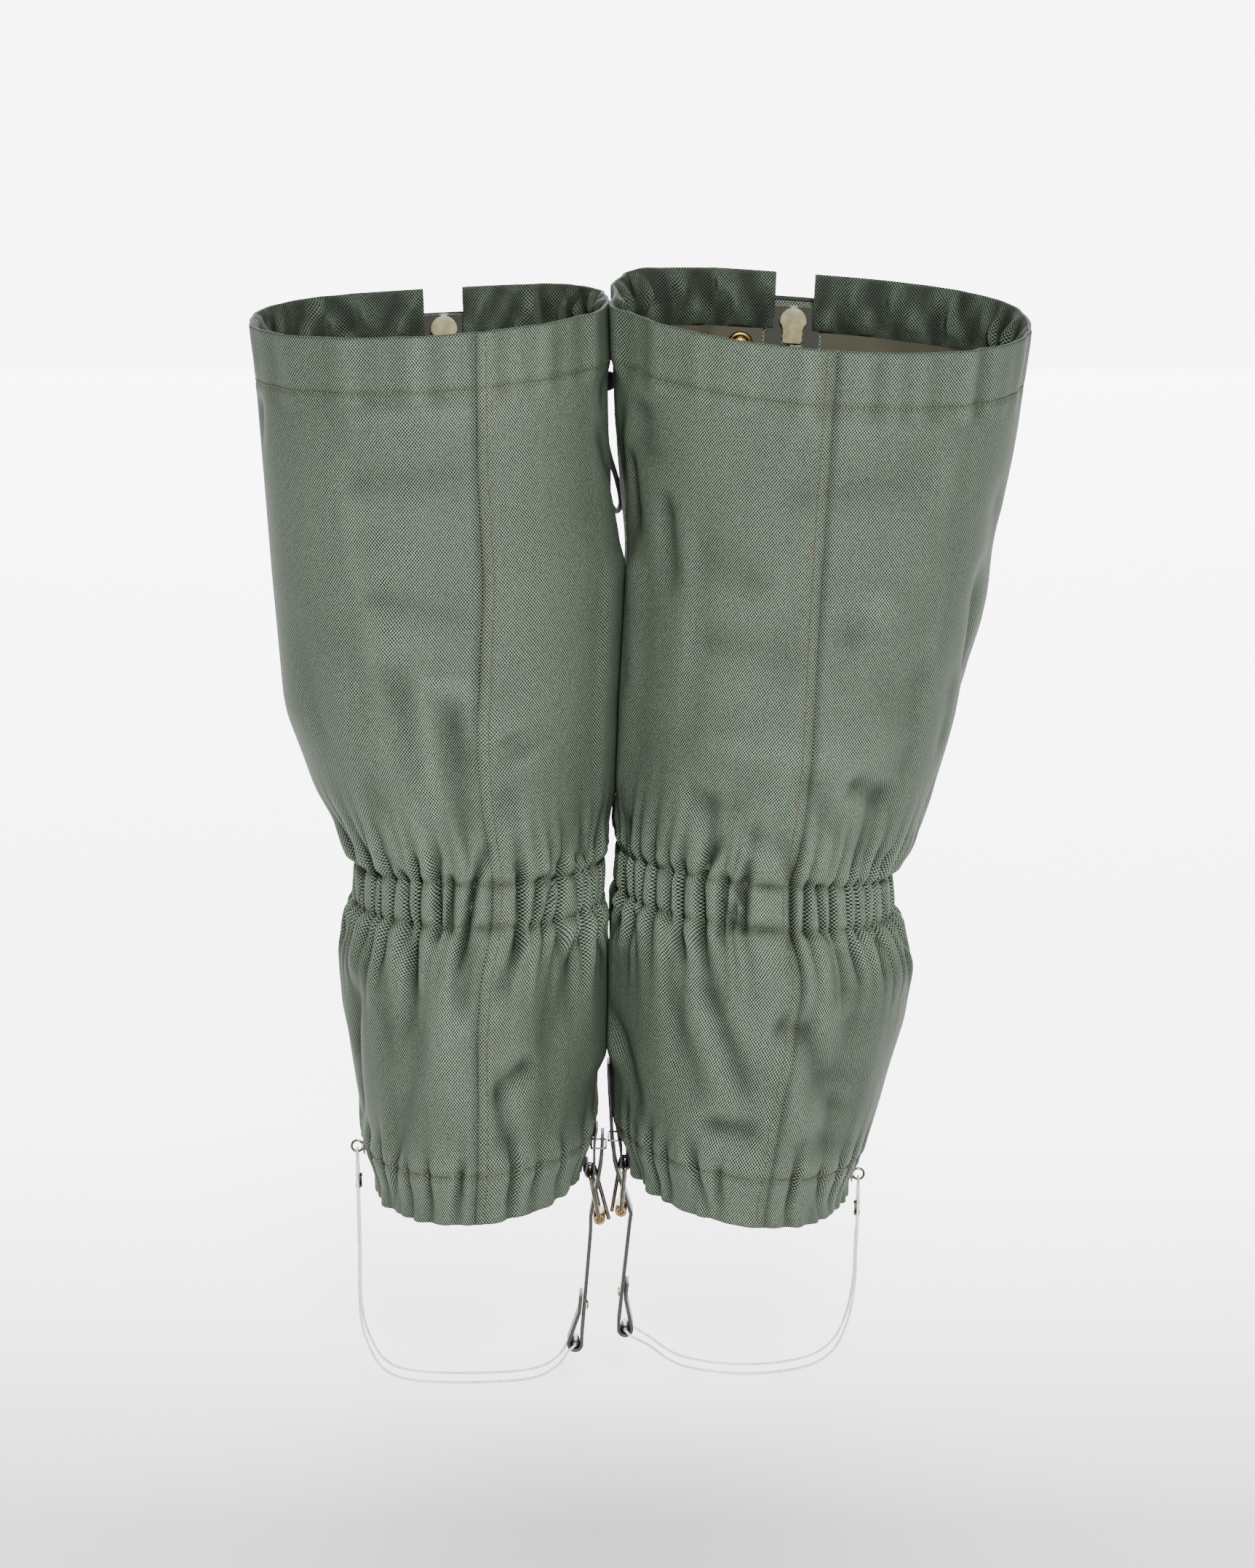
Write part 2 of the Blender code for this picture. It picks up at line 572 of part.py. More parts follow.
def drawcord_parts(gaiter, finishes, inner_panel):
    """The cord runs round inside the top casing and comes out of two holes as a loop, with a sprung lock on it."""
    base, back, down, out = facet_frame(gaiter, CORD_HEIGHT, -gaiter.lock_place)

    def local(along, lift, drop):
        return base + back * along + out * lift + down * drop

    end = local(EYELET_SPACING / 2 + 3.4, -CASING_CORD_DEPTH, 0)
    last = int(gaiter.lock_place)
    ring = [skin(gaiter, CORD_HEIGHT, place, -CASING_CORD_DEPTH) for place in range(8, -last - 1, -1)]
    ring = [point for point in ring if (point - end).length > EYELET_SPACING / 2]
    tube(gaiter, "drawcord", ring + [end], CORD_RADIUS, finishes["cord"])

    half = EYELET_SPACING / 2
    lifts = gaiter.loop_lifts
    side = [(half, -3.2, 0), (half, 1.5, 0), (half, 4.6, 1.6), (half - 0.5, LOCK_LIFT, 5.5)]
    side += [(3.6, LOCK_LIFT, 11), (2.4, LOCK_LIFT, 17), (2.4, LOCK_LIFT, 30), (2.4, LOCK_LIFT, 48)]
    side += [(2.6, lifts[0], 56), (3.8, lifts[1], 66), (5.4, lifts[2], 78), (5.2, lifts[3], 88)]
    route = side + [(0, lifts[4], 93)] + [(-along, lift, drop) for along, lift, drop in side[::-1]]
    loop = smooth_line([local(*point) for point in route], 6)
    tube(gaiter, "drawcord_loop", loop, CORD_RADIUS, finishes["cord"])
    for along in (half, -half):
        rings = [circle(local(along, lift, 0), out, EYELET_RADIUS, 10) for lift in (-1.8, 2)]
        drill = solid(gaiter, f"eyelet_drill_{'back' if along > 0 else 'front'}", rings, finishes["cord"])
        boolean(inner_panel, drill, "DIFFERENCE")

    middle = local(0, LOCK_LIFT, LOCK_DOWN)
    push = -back
    low, high = LOCK_ENDS
    shell = [(LOCK_RADIUS - 1, low), (LOCK_RADIUS, low + 1), (LOCK_RADIUS, high), (LOCK_BORE, high)]
    shell += [(LOCK_BORE, low + 1.2)]
    lock = turned(gaiter, "cord_lock_body", middle, push, shell, finishes["lock"], count=16, origin=middle)
    plunger = [(PLUNGER_RADIUS, low + 4.4), (PLUNGER_RADIUS, high + PLUNGER_TRAVEL + 0.4)]
    plunger += [(3.8, high + PLUNGER_TRAVEL + 0.4), (3.8, high + PLUNGER_TRAVEL + 2), (3, high + PLUNGER_TRAVEL + 2.6)]
    button = turned(gaiter, "cord_lock_button", middle, push, plunger, finishes["lock"], origin=middle)
    for along in (2.4, -2.4):
        rings = [circle(middle + back * along + down * drop, down, 1.8, 10) for drop in (-9, 9)]
        hole = solid(gaiter, f"lock_hole_{'back' if along > 0 else 'front'}", rings, finishes["lock"])
        boolean(lock, hole, "DIFFERENCE")
    slot = [(-4.2, -1.75), (7.4, -1.75), (7.4, 1.75), (-4.2, 1.75)]
    rings = [[middle + push * a + out * b + down * drop for a, b in slot] for drop in (-9, 9)]
    boolean(button, solid(gaiter, "plunger_slot", rings, finishes["lock"], smooth=False), "DIFFERENCE")


def lace_hook(gaiter, finish):
    """A flat steel hook on the front of the hem, which catches a bootlace from above."""
    _, y, z = gaiter.zip_foot
    shank = 2.3
    outline = [(shank, 8), (shank, -13), (-5, -13), (-5, -8), (-6.2, -8), (-6.2, -14.2), (shank + 1.2, -14.2)]
    outline += [(shank + 1.2, 8)]
    sides = (gaiter.sign * gaiter.zip_foot[0] - 5, gaiter.sign * gaiter.zip_foot[0] + 5)
    rings = [[Vector((x, y + ahead, z + rise)) for ahead, rise in outline] for x in sides]
    solid(gaiter, "lace_hook", rings, finish, smooth=False)


def buckle_parts(gaiter, finishes):
    """A wire roller buckle hangs from a leather tab on the inner side of the hem."""
    sign = gaiter.sign

    def at(spot, y=0.0):
        return Vector((sign * spot[0], gaiter.strap_y + y, spot[1]))

    pivot, roller = gaiter.pivot, gaiter.roller
    corners = [at(pivot, -BUCKLE_HALF), at(roller, -BUCKLE_HALF), at(roller, BUCKLE_HALF), at(pivot, BUCKLE_HALF)]
    frame = rounded([corners[3].lerp(corners[0], 0.5), *corners, corners[3].lerp(corners[0], 0.5)])
    tube(gaiter, "buckle_frame", frame[:-1], WIRE, finishes["steel"], cyclic=True)
    barrel = [(WIRE + 0.4, -ROLLER_HALF), (ROLLER_RADIUS, -ROLLER_HALF)]
    barrel += [(ROLLER_RADIUS, ROLLER_HALF), (WIRE + 0.4, ROLLER_HALF)]
    axle = at(roller)
    turned(gaiter, "buckle_roller", axle, Vector((0, 1, 0)), barrel, finishes["brass"], origin=axle, closed=True)

    eye_radius = WIRE + GAP + TONGUE_RADIUS + 0.1
    tip = (roller[0] - ROLLER_RADIUS - GAP - TONGUE_RADIUS - 0.4, roller[1] - 2)
    lean = math.degrees(math.atan2(pivot[0] - tip[0], pivot[1] - tip[1]))
    start = 180 - lean
    around = arc(pivot, eye_radius, start - 290, start, 12)
    tongue = [at(spot) for spot in [*around, tip]]
    tube(gaiter, "buckle_tongue", tongue, TONGUE_RADIUS, finishes["steel"], origin=at(pivot))

    wrap = WIRE + 0.4 + TAB_THICKNESS / 2
    path = [*gaiter.tab, *arc(pivot, wrap, 180, 360, 8), (pivot[0] + wrap - 0.8, pivot[1] + 4)]
    tab = solid(
        gaiter,
        "buckle_tab",
        across_y(gaiter, ribbon(path, TAB_THICKNESS), -TAB_HALF, TAB_HALF),
        finishes["leather"],
    )
    slot = [(pivot[0] - 8, pivot[1] + 5), (pivot[0] + 6, pivot[1] + 5)]
    slot += [(pivot[0] + 6, pivot[1] - 7), (pivot[0] - 8, pivot[1] - 7)]
    boolean(tab, solid(gaiter, "tab_slot", across_y(gaiter, slot, -1.6, 1.6), finishes["leather"]), "DIFFERENCE")


def strap_parts(gaiter, finishes):
    """The strap comes up from the cable's tube, behind the roller, through the buckle and up as a free tail."""
    roller, hub = gaiter.roller, gaiter.tube
    half = STRAP_THICKNESS / 2
    behind = (roller[0] + ROLLER_RADIUS + GAP + half + 0.2, roller[1])
    bend = TUBE_RADIUS + 0.35 + half
    run_top = Vector((behind[0], behind[1] - 6))
    run_foot = Vector((hub[0] - bend, hub[1] + 3))
    doubled = STRAP_THICKNESS + 0.4
    back_run = [run_foot.lerp(run_top, share) + Vector((doubled, 0)) for share in (0.24, 0.4)]
    path = [*gaiter.tail[::-1], behind, tuple(run_top), tuple(run_foot)]
    path += arc(hub, bend, 180, 380, 9)
    path += [tuple(spot) for spot in back_run]
    strap = solid(
        gaiter,
        "strap",
        across_y(gaiter, ribbon(path, STRAP_THICKNESS), -STRAP_HALF, STRAP_HALF),
        finishes["leather"],
    )
    high = gaiter.pivot[1] + 3
    low = roller[1] + 5
    slot = [(-4, high), (14, high), (14, low), (-4, low)]
    boolean(strap, solid(gaiter, "strap_slot", across_y(gaiter, slot, -1.6, 1.6), finishes["leather"]), "DIFFERENCE")

    keeper_z = 122
    tail_front = gaiter.tail[2][0] - half
    tab_back = gaiter.tab[2][0] + TAB_THICKNESS / 2
    keeper_wire = 0.5
    near = tail_front - 0.35 - keeper_wire
    far = tab_back + 0.35 + keeper_wire
    wide = TAB_HALF + 0.6 + keeper_wire
    corners = [(near, 0), (near, -wide), (far, -wide), (far, wide), (near, wide), (near, 0)]
    loop = [Vector((gaiter.sign * across, gaiter.strap_y + y, keeper_z)) for across, y in corners]
    tube(gaiter, "strap_keeper", rounded(loop, radius=0.9)[:-1], keeper_wire, finishes["steel"], cyclic=True)


def cable_parts(gaiter, finishes):
    """A coated wire rope, doubled: through the tube, under the sole on both sides of it, and over the eye."""
    sign, middle = gaiter.sign, gaiter.strap_y

    def at(spot, y):
        return Vector((sign * spot[0], middle + y, spot[1]))

    hub, eye = gaiter.tube, gaiter.eye
    lengthwise = Vector((0, 1, 0))
    sleeve = [(0.95, -TUBE_HALF), (TUBE_RADIUS, -TUBE_HALF), (TUBE_RADIUS, TUBE_HALF), (0.95, TUBE_HALF)]
    turned(gaiter, "cable_tube", at(hub, 0), lengthwise, sleeve, finishes["steel"], count=10, closed=True)

    ferrule_z = eye[1] - 18
    ferrule_half = 3.5
    straight = (eye[0] - 0.3, CABLE_SPREAD - 0.6)
    above, below = (
        [at((straight[0], ferrule_z + sense * drop), straight[1]) for drop in (0.5, ferrule_half + 2)]
        for sense in (1, -1)
    )
    strand = [at(spot, CABLE_SPREAD) for spot in gaiter.cable]
    turn_in = [at((hub[0] + 3.4, hub[1] - 3), CABLE_SPREAD + 1.6), at((hub[0] + 0.9, hub[1] - 0.6), CABLE_SPREAD + 1.4)]
    turn_in += [at(hub, TUBE_HALF)]
    over_eye = [(1.6, -1.4), (3.6, -3.4), (6, -7.5)]
    top_side = [at((eye[0], eye[1] + drop), y) for y, drop in over_eye]

    def mirrored(points):
        return [Vector((p.x, 2 * middle - p.y, p.z)) for p in points[::-1]]

    back_top = mirrored([below[0].lerp(above[0], 0.5)])
    over = mirrored(top_side) + [at((eye[0], eye[1] - 0.95), 0)] + top_side
    knots = below + strand + turn_in + mirrored(strand + turn_in) + back_top + over + above[::-1]
    tube(gaiter, "cable", smooth_line(knots, 11), CABLE_RADIUS, finishes["cable"])

    crimp = [(0.95, -ferrule_half), (1.6, -ferrule_half), (1.6, ferrule_half), (0.95, ferrule_half)]
    centre = below[0].lerp(above[0], 0.5)
    turned(gaiter, "cable_ferrule", centre, Vector((0, 0, 1)), crimp, finishes["steel"], count=10, closed=True)

    plate_at = eye[0] - 3.6
    outward = Vector((sign, 0, 0))
    profile = [(4, plate_at), (4, plate_at + 0.8), (1.6, plate_at + 1.3)]
    hung = Vector((0, middle, eye[1]))
    plate = turned(gaiter, "cable_eye", hung, outward, profile, finishes["steel"], count=12)
    eye_ring = [circle(at(eye, 0) + d * 2.6, t, 0.6, 8, lengthwise) for d, t in ring_steps(14)]
    boolean(plate, solid(gaiter, "eye_ring", eye_ring, finishes["steel"], closed=True), "UNION")


def ring_steps(count):
    """Directions from the middle of a ring that lies across Y, and the way its wire runs there."""
    for i in range(count):
        a = 2 * math.pi * i / count
        yield Vector((math.cos(a), 0, math.sin(a))), Vector((-math.sin(a), 0, math.cos(a)))


def main():
    for old in list(bpy.data.objects):
        bpy.data.objects.remove(old)
    finishes = {
        "fabric": material("green nylon", (0.1, 0.17, 0.12), 0.6),
        "lining": material("khaki lining", (0.13, 0.12, 0.06), 0.75),
        "elastic": material("elastic", (0.03, 0.04, 0.03), 0.8),
        "zip": material("zip tape and teeth", (0.05, 0.06, 0.04), 0.6),
        "slider": material("olive zinc", (0.33, 0.31, 0.2), 0.5),
        "touch_tape": material("touch tape", (0.02, 0.02, 0.02), 0.9),
        "brass": material("brass", (0.55, 0.38, 0.14), 0.35, 1.0),
        "cord": material("black cord", (0.015, 0.015, 0.015), 0.7),
        "lock": material("black nylon", (0.02, 0.02, 0.02), 0.4),
        "steel": material("nickel plated steel", (0.6, 0.57, 0.5), 0.3, 1.0),
        "leather": material("black leather", (0.012, 0.012, 0.012), 0.5),
        "cable": material("coated cable", (0.75, 0.75, 0.72), 0.3),
    }
    for gaiter in (LEFT, RIGHT):
        _, inner, lining = fabric_parts(gaiter, finishes)
        zip_parts(gaiter, finishes)
        flap_parts(gaiter, finishes, inner, lining)
        drawcord_parts(gaiter, finishes, inner)
        lace_hook(gaiter, finishes["steel"])
        buckle_parts(gaiter, finishes)
        strap_parts(gaiter, finishes)
        cable_parts(gaiter, finishes)


main()
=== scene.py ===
"""The looks of a pair of zip-front gaiters, seen from behind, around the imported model.

Sizes are in millimetres and become metres where a mesh or curve is made. +Z is up and the toes point
to +Y. "Across" is a distance outwards from the plane between the boots, so that both gaiters' sizes
read the same way.
"""

import math
from dataclasses import dataclass

import bmesh
import bpy
import numpy as np
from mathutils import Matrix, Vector


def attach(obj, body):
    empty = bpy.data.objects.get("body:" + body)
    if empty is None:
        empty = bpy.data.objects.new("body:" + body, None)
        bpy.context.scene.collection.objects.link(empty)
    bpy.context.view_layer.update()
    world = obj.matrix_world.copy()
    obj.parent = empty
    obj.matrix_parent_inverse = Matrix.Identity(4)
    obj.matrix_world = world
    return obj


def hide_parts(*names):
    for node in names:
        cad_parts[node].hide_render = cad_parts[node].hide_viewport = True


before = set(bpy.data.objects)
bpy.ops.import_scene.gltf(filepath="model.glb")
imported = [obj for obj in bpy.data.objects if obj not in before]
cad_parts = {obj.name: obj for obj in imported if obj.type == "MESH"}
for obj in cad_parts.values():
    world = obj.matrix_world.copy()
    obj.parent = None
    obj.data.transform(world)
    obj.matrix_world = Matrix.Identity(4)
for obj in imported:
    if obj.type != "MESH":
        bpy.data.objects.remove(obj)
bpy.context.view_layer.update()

MM = 0.001

# The leg's shape, as in the CAD
TOP = 507
HEM = 104
TOP_CASING = 26
HEM_CASING = 22
TOP_FOLD = 5.2
HEM_FOLD = 4.4
CLOTH = 0.6  # thickness
FRONT_SQUARENESS = 3.2
PANEL_EDGE = 9  # from the zip's line
BACK_COLUMNS = (0, 22.5, 45, 67.5, 90, 112.5, 135)
FRONT_COLUMNS = (34, 17, 9, 0)

# Stitched lines
CASING_LINE = TOP - TOP_CASING + 1.5
BAND_TOP = 254.5
BAND_FOOT = 235
HEM_LINE = 126
STITCH = 2.7  # from one stitch to the next
STITCH_HALF = 1.15

# Cloth simulation
CELL = 3.2
FINER = 2  # how many times finer the final mesh is
SIM_SCALE = 10
SIM_FRAMES = 26
ROW_SLACK = 1.015  # how much taller the cut cloth is than the surface it lies on
PINNED_EDGE = 3  # columns held still at each front edge

# How the cloth lies after it settles
FLAT_FRONT = 22  # cloth under the flap and its touch tape, from each front edge, that lies flat
MEETING_Y = -6  # where the two gaiters come together
MEETING_ROOM = 0.5  # how far each keeps from the plane between them
FOLD_DEPTH = 1.25  # how much deeper the placed folds are than they look from behind
FOLD_WIDTH = 1.25
EDGE_INSET = 3  # columns that the lining and elastics stop short of the front edges

# Cords
CORD_RADIUS = 1.3
CABLE_RADIUS = 0.6


@dataclass
class Gaiter:
    """One gaiter's own shape, because each boot leans its own way."""

    name: str
    sign: int
    rows: tuple  # height, outer side, inner side, back, rises to the inner side and front, seam's angle
    zip_foot: tuple  # across, y, z
    zip_head: tuple
    lock_place: float  # in columns from the back seam, on the inner side
    loop_lifts: tuple
    strap_y: float
    roller: tuple  # across, z
    pivot: tuple
    tube: tuple
    tail: tuple
    tab: tuple
    cable: tuple
    eye: tuple
    seed: int
    folds: tuple  # valleys: (x, z) at both ends, half width, depth; a ridge has a negative depth
    ankle_creases: tuple  # (x, reach above the band, reach below it, depth)
    hem_creases: tuple  # (x, reach above the hem's stitches, depth)


LEFT = Gaiter(
    name="left",
    sign=-1,
    rows=(
        (104, 106.5, 14, -66, 0.09, 0.06, -1),
        (124, 112, 7, -70, 0.07, 0.05, -1.5),
        (150, 118, 4, -72, 0.04, 0.03, -3),
        (185, 125, 2, -73, 0, 0, -5),
        (213, 125.5, 2, -70, 0, 0, -7),
        (234, 116, 4.5, -60, 0, 0, -8.5),
        (256, 115, 4.5, -58, 0, 0, -9),
        (272, 124, 0.5, -62, 0.01, 0, -9.5),
        (290, 136, -2, -65, 0.02, 0.01, -11),
        (328, 149.5, -3.5, -66, 0.03, 0.02, -13),
        (390, 154.5, -6.5, -65, 0.04, 0.04, -15),
        (447, 158.5, 0, -63, 0.05, 0.06, -16.5),
        (TOP, 163, 0.5, -62, 0.055, 0.07, -17.5),
    ),
    zip_foot=(62, 90, 112),
    zip_head=(76.3, 60, 500),
    lock_place=5.5,
    loop_lifts=(6.5, 8, 11, 13, 14),
    strap_y=-7,
    roller=(4.4, 88),
    pivot=(8.8, 110),
    tube=(15.7, 28),
    tail=((4.5, 109), (3.5, 116), (3.1, 122), (2.9, 128)),
    tab=((5.5, 131), (6.3, 126), (6.7, 122), (6.8, 116), (6.8, 111)),
    cable=((115.7, 80), (115.2, 44), (111.5, 28), (104, 16), (90, 11), (62, 10), (36, 12), (24, 18)),
    eye=(116.4, 121),
    seed=11,
    folds=(
        ((-125, 434), (-60, 441), 10, 2.8), ((-122, 464), (-62, 468), 12, -1.2),
        ((-105, 384), (-58, 375), 9, 2), ((-68, 330), (-66, 268), 10, 6),
        ((-84, 344), (-79, 290), 5, -1.8), ((-82, 347), (-55, 342), 5, -1.8),
        ((-129, 438), (-95, 350), 14, -2.4), ((-135, 322), (-109, 284), 6, 4),
        ((-130, 300), (-112, 272), 5, -2), ((-44, 322), (-38, 312), 8, 1.6),
        ((-104, 236), (-109, 172), 5, 3.4), ((-89, 230), (-97, 178), 5.5, 4.6),
        ((-82, 210), (-96, 135), 7, 3), ((-60, 230), (-66, 200), 4.5, 3.2),
        ((-40, 230), (-50, 205), 4.5, 3.2), ((-25, 230), (-27, 152), 6, 3.2),
        ((-10, 235), (-22, 178), 5, 3), ((-34, 172), (-50, 160), 5, 3.2),
        ((-50, 160), (-45, 132), 5, 3.4), ((-75, 200), (-70, 150), 9, -2),
        ((-142, 400), (-128, 330), 16, 2.6), ((-98, 348), (-82, 296), 11, 3),
        ((-60, 316), (-46, 288), 10, 2.4), ((-112, 416), (-104, 372), 12, 1.8),
    ),
    ankle_creases=(
        (-108, 24, 30, 4.2), (-96, 6, 8, 3), (-86, 14, 36, 4.2), (-75.5, 20, 10, 3.4),
        (-70.7, 6, 5, 2.5), (-63, 22, 22, 3.8), (-40, 12, 22, 3.8), (-33.6, 4, 5, 2.6), (-28, 12, 8, 3),
        (-22, 10, 26, 3.4), (-14, 12, 28, 3.4),
    ),
    hem_creases=(
        (-97, 22, 2.6), (-91, 8, 2), (-81.5, 12, 2.2), (-67, 10, 3.2), (-43, 22, 3.6), (-32, 6, 2),
        (-21.6, 18, 2.8),
    ),
)

RIGHT = Gaiter(
    name="right",
    sign=1,
    rows=(
        (104, 108, 11.5, -67, 0.15, 0.06, 11.5),
        (124, 115.5, 4, -71, 0.13, 0.05, 12),
        (150, 125, 1.5, -74, 0.1, 0.03, 12),
        (185, 136.5, 1, -75, 0.08, 0, 12.5),
        (213, 139.5, 2, -72, 0.09, 0, 13),
        (234, 129.5, 5, -62, 0.1, 0, 13),
        (256, 128.5, 6, -60, 0.1, 0, 13),
        (272, 139, 4.5, -64, 0.1, 0, 11.5),
        (290, 147.5, 4.5, -67, 0.09, 0.02, 9.5),
        (328, 160.5, 6, -68, 0.08, 0.05, 5.5),
        (390, 173, 9.5, -67, 0.078, 0.09, 1.5),
        (447, 183.5, 4, -66, 0.077, 0.13, 2),
        (TOP, 192, 1.2, -65, 0.075, 0.155, 2.5),
    ),
    zip_foot=(63, 92, 112),
    zip_head=(85.6, 66, 503),
    lock_place=6.5,
    loop_lifts=(5.5, 5, 5, 5, 5),
    strap_y=8,
    roller=(5.6, 88),
    pivot=(7.6, 110),
    tube=(7.5, 31),
    tail=((3.2, 109), (2.2, 116), (1.4, 122), (0.9, 134), (0.2, 146), (-0.2, 158)),
    tab=((2.6, 133), (3.7, 128), (4.7, 122), (5.6, 116), (5.6, 111)),
    cable=((115, 70), (114.2, 52), (111, 35), (104, 21), (90, 13), (62, 10), (34, 14), (18, 24)),
    eye=(116, 104),
    seed=23,
    folds=(
        ((86, 431), (146, 439), 10, 2.4), ((90, 466), (150, 470), 12, -1.2),
        ((41, 366), (86, 358), 11, 2.8), ((153, 445), (123, 385), 12, -2),
        ((123, 385), (113, 357), 10, -2), ((113, 357), (126, 314), 10, -2.2),
        ((50, 318), (120, 314), 9, -2), ((43, 292), (48, 262), 6.5, 4), ((36, 298), (60, 288), 7, 1.8),
        ((62, 280), (86, 269), 7, 2.4), ((110, 301), (126, 292), 5.5, 3),
        ((126, 292), (111, 258), 6.5, 4.6), ((89, 304), (103, 276), 6.5, 2.4),
        ((3, 299), (17, 275), 6, 3.6), ((19, 299), (33, 262), 5, 2),
        ((155, 396), (141, 323), 4.5, -1.4), ((20, 238), (26, 202), 5.5, 2.8),
        ((26, 202), (41, 156), 6, 3), ((41, 230), (46, 202), 5.5, 4), ((46, 202), (62, 160), 5.5, 4),
        ((106, 226), (111, 202), 5.5, 3.8), ((122, 231), (134, 214), 5, 2.8),
        ((77, 193), (91, 189), 6, 3.4), ((91, 189), (101, 158), 6, 3.6), ((112, 197), (105, 153), 7, 3),
        ((105, 153), (98, 130), 6, 3), ((81, 177), (88, 142), 5, -1.6), ((45, 146), (68, 143), 5, 3.2),
        ((16, 420), (24, 330), 13, 2.6), ((108, 372), (126, 330), 11, 3), ((66, 392), (30, 404), 11, 2),
        ((146, 352), (134, 300), 9, 2.4),
    ),
    ankle_creases=(
        (14, 16, 10, 3.8), (20.3, 6, 14, 3.4), (26.3, 5, 10, 2.8), (33.5, 8, 26, 3.8), (43, 24, 12, 3.8),
        (51.5, 5, 12, 3), (56, 4, 6, 2.5), (61, 14, 4, 3), (82.6, 16, 10, 3.8), (89, 6, 5, 3), (96, 4, 6, 3),
        (100.6, 5, 6, 3), (108, 14, 24, 3.8), (112, 4, 6, 3), (120, 12, 20, 3.8), (127, 6, 8, 3),
    ),
    hem_creases=(
        (21.5, 8, 2.6), (26.3, 14, 2.4), (39.5, 24, 3.4), (50, 6, 2), (83.8, 20, 3), (95.8, 8, 2.6),
        (105.4, 16, 2.8),
    ),
)


# ---------------------------------------------------------------- the leg's smooth shape

def sizes_at(gaiter, heights):
    """The section's sizes at heights, eased over a few millimetres so that no row shows as a crease."""
    table = np.array(gaiter.rows, float)
    sizes = 0
    for offset, weight in zip((-7, -3.5, 0, 3.5, 7), (1, 2, 3, 2, 1)):
        spots = np.clip(heights + offset, HEM, TOP)
        row = [np.interp(spots, table[:, 0], table[:, k]) for k in range(1, table.shape[1])]
        sizes = sizes + weight / 9 * np.array(row)
    return sizes


def wall(gaiter, heights, angles, lift=0.0):
    """Points of the leg's surface, for arrays of heights and of angles round from the middle of the back."""
    outer, inner, back, lean, rake, _ = sizes_at(gaiter, heights)
    centre = (outer + inner) / 2
    half = (outer - inner) / 2
    foot, head = gaiter.zip_foot, gaiter.zip_head
    front_z = heights
    for _ in range(3):
        share = (front_z - foot[2]) / (head[2] - foot[2])
        zip_across = foot[0] + (head[0] - foot[0]) * share
        front = foot[1] + (head[1] - foot[1]) * share
        depth = (front - back) / 2
        front_z = heights + rake * depth - lean * (zip_across - centre)

    def outline(turn):
        side = np.sin(turn)
        ahead = -np.cos(turn)
        power = 2 / FRONT_SQUARENESS
        squared = np.sign(side) * half * np.abs(side) ** power + (zip_across - centre) * ahead**2
        across = np.where(ahead > 0, squared, half * side)
        along = np.where(ahead > 0, depth * np.abs(ahead) ** power, depth * ahead)
        return across, along

    step = 0.01
    a0, b0 = outline(angles - step)
    a1, b1 = outline(angles + step)
    length = np.hypot(a1 - a0, b1 - b0)
    a, b = outline(angles)
    a = a + (b1 - b0) / length * lift
    b = b - (a1 - a0) / length * lift
    return np.stack([gaiter.sign * (centre + a), (front + back) / 2 + b, heights - lean * a + rake * b], -1)


def zip_across_at(gaiter, z):
    foot, head = gaiter.zip_foot, gaiter.zip_head
    return foot[0] + (head[0] - foot[0]) * (z - foot[2]) / (head[2] - foot[2])


def even_angles(gaiter, heights, side, count):
    """Angles that split every row evenly from the back seam to the front edge, and each row's length."""
    seam = np.radians(sizes_at(gaiter, heights)[5])[:, None]
    share = np.linspace(0, 1, 700)[None, :]
    angles = seam * (1 - share) + side * math.pi * share
    tall = np.repeat(heights[:, None], share.size, 1)
    points = wall(gaiter, tall, angles)
    beside = np.abs(points[..., 0] * gaiter.sign - zip_across_at(gaiter, points[..., 2]))
    steps = np.linalg.norm(np.diff(points, axis=1), axis=2)
    run = np.concatenate([np.zeros((len(heights), 1)), np.cumsum(steps, 1)], 1)
    done = np.zeros((len(heights), count + 1))
    lengths = np.zeros(len(heights))
    half = share.size // 2
    for j in range(len(heights)):
        lengths[j] = np.interp(-PANEL_EDGE, -beside[j, half:], run[j, half:])
        done[j] = np.interp(np.linspace(0, lengths[j], count + 1), run[j], angles[j])
    return done, lengths


def normals_of(points, inside):
    """The unit normal at each point of a grid of rows and columns, away from a place inside."""
    normal = np.cross(np.gradient(points, axis=0), np.gradient(points, axis=1))
    normal /= np.maximum(np.linalg.norm(normal, axis=2, keepdims=True), 1e-9)
    return normal * np.sign(((points - inside) * normal).sum())


def eased(t):
    t = np.clip(t, 0, 1)
    return t * t * (3 - 2 * t)


def near(values, place, width):
    """1 at the place, falling away on both sides of it."""
    return np.exp(-(((values - place) / width) ** 2))


def resampled(values, count):
    """The same run of values at this many even steps."""
    return np.interp(np.linspace(0, len(values) - 1, count), np.arange(len(values)), values)


# ---------------------------------------------------------------- the gathered cloth

def pleat_wave(rng, along, narrow=8.0, wide=21.0):
    """A row of puckers, 0 in the creases and up to 1 on the puffs, with its widths along the cloth."""
    wave = np.zeros_like(along)
    width_at = np.ones_like(along)
    start = along.min() - rng.uniform(0, wide)
    while start < along.max():
        width = rng.uniform(narrow, wide)
        height = rng.uniform(0.45, 1.1)
        inside = (along >= start) & (along < start + width)
        wave[inside] = height * np.sin(np.pi * (along[inside] - start) / width) ** 0.8
        width_at[inside] = width
        start += width
    return wave, width_at


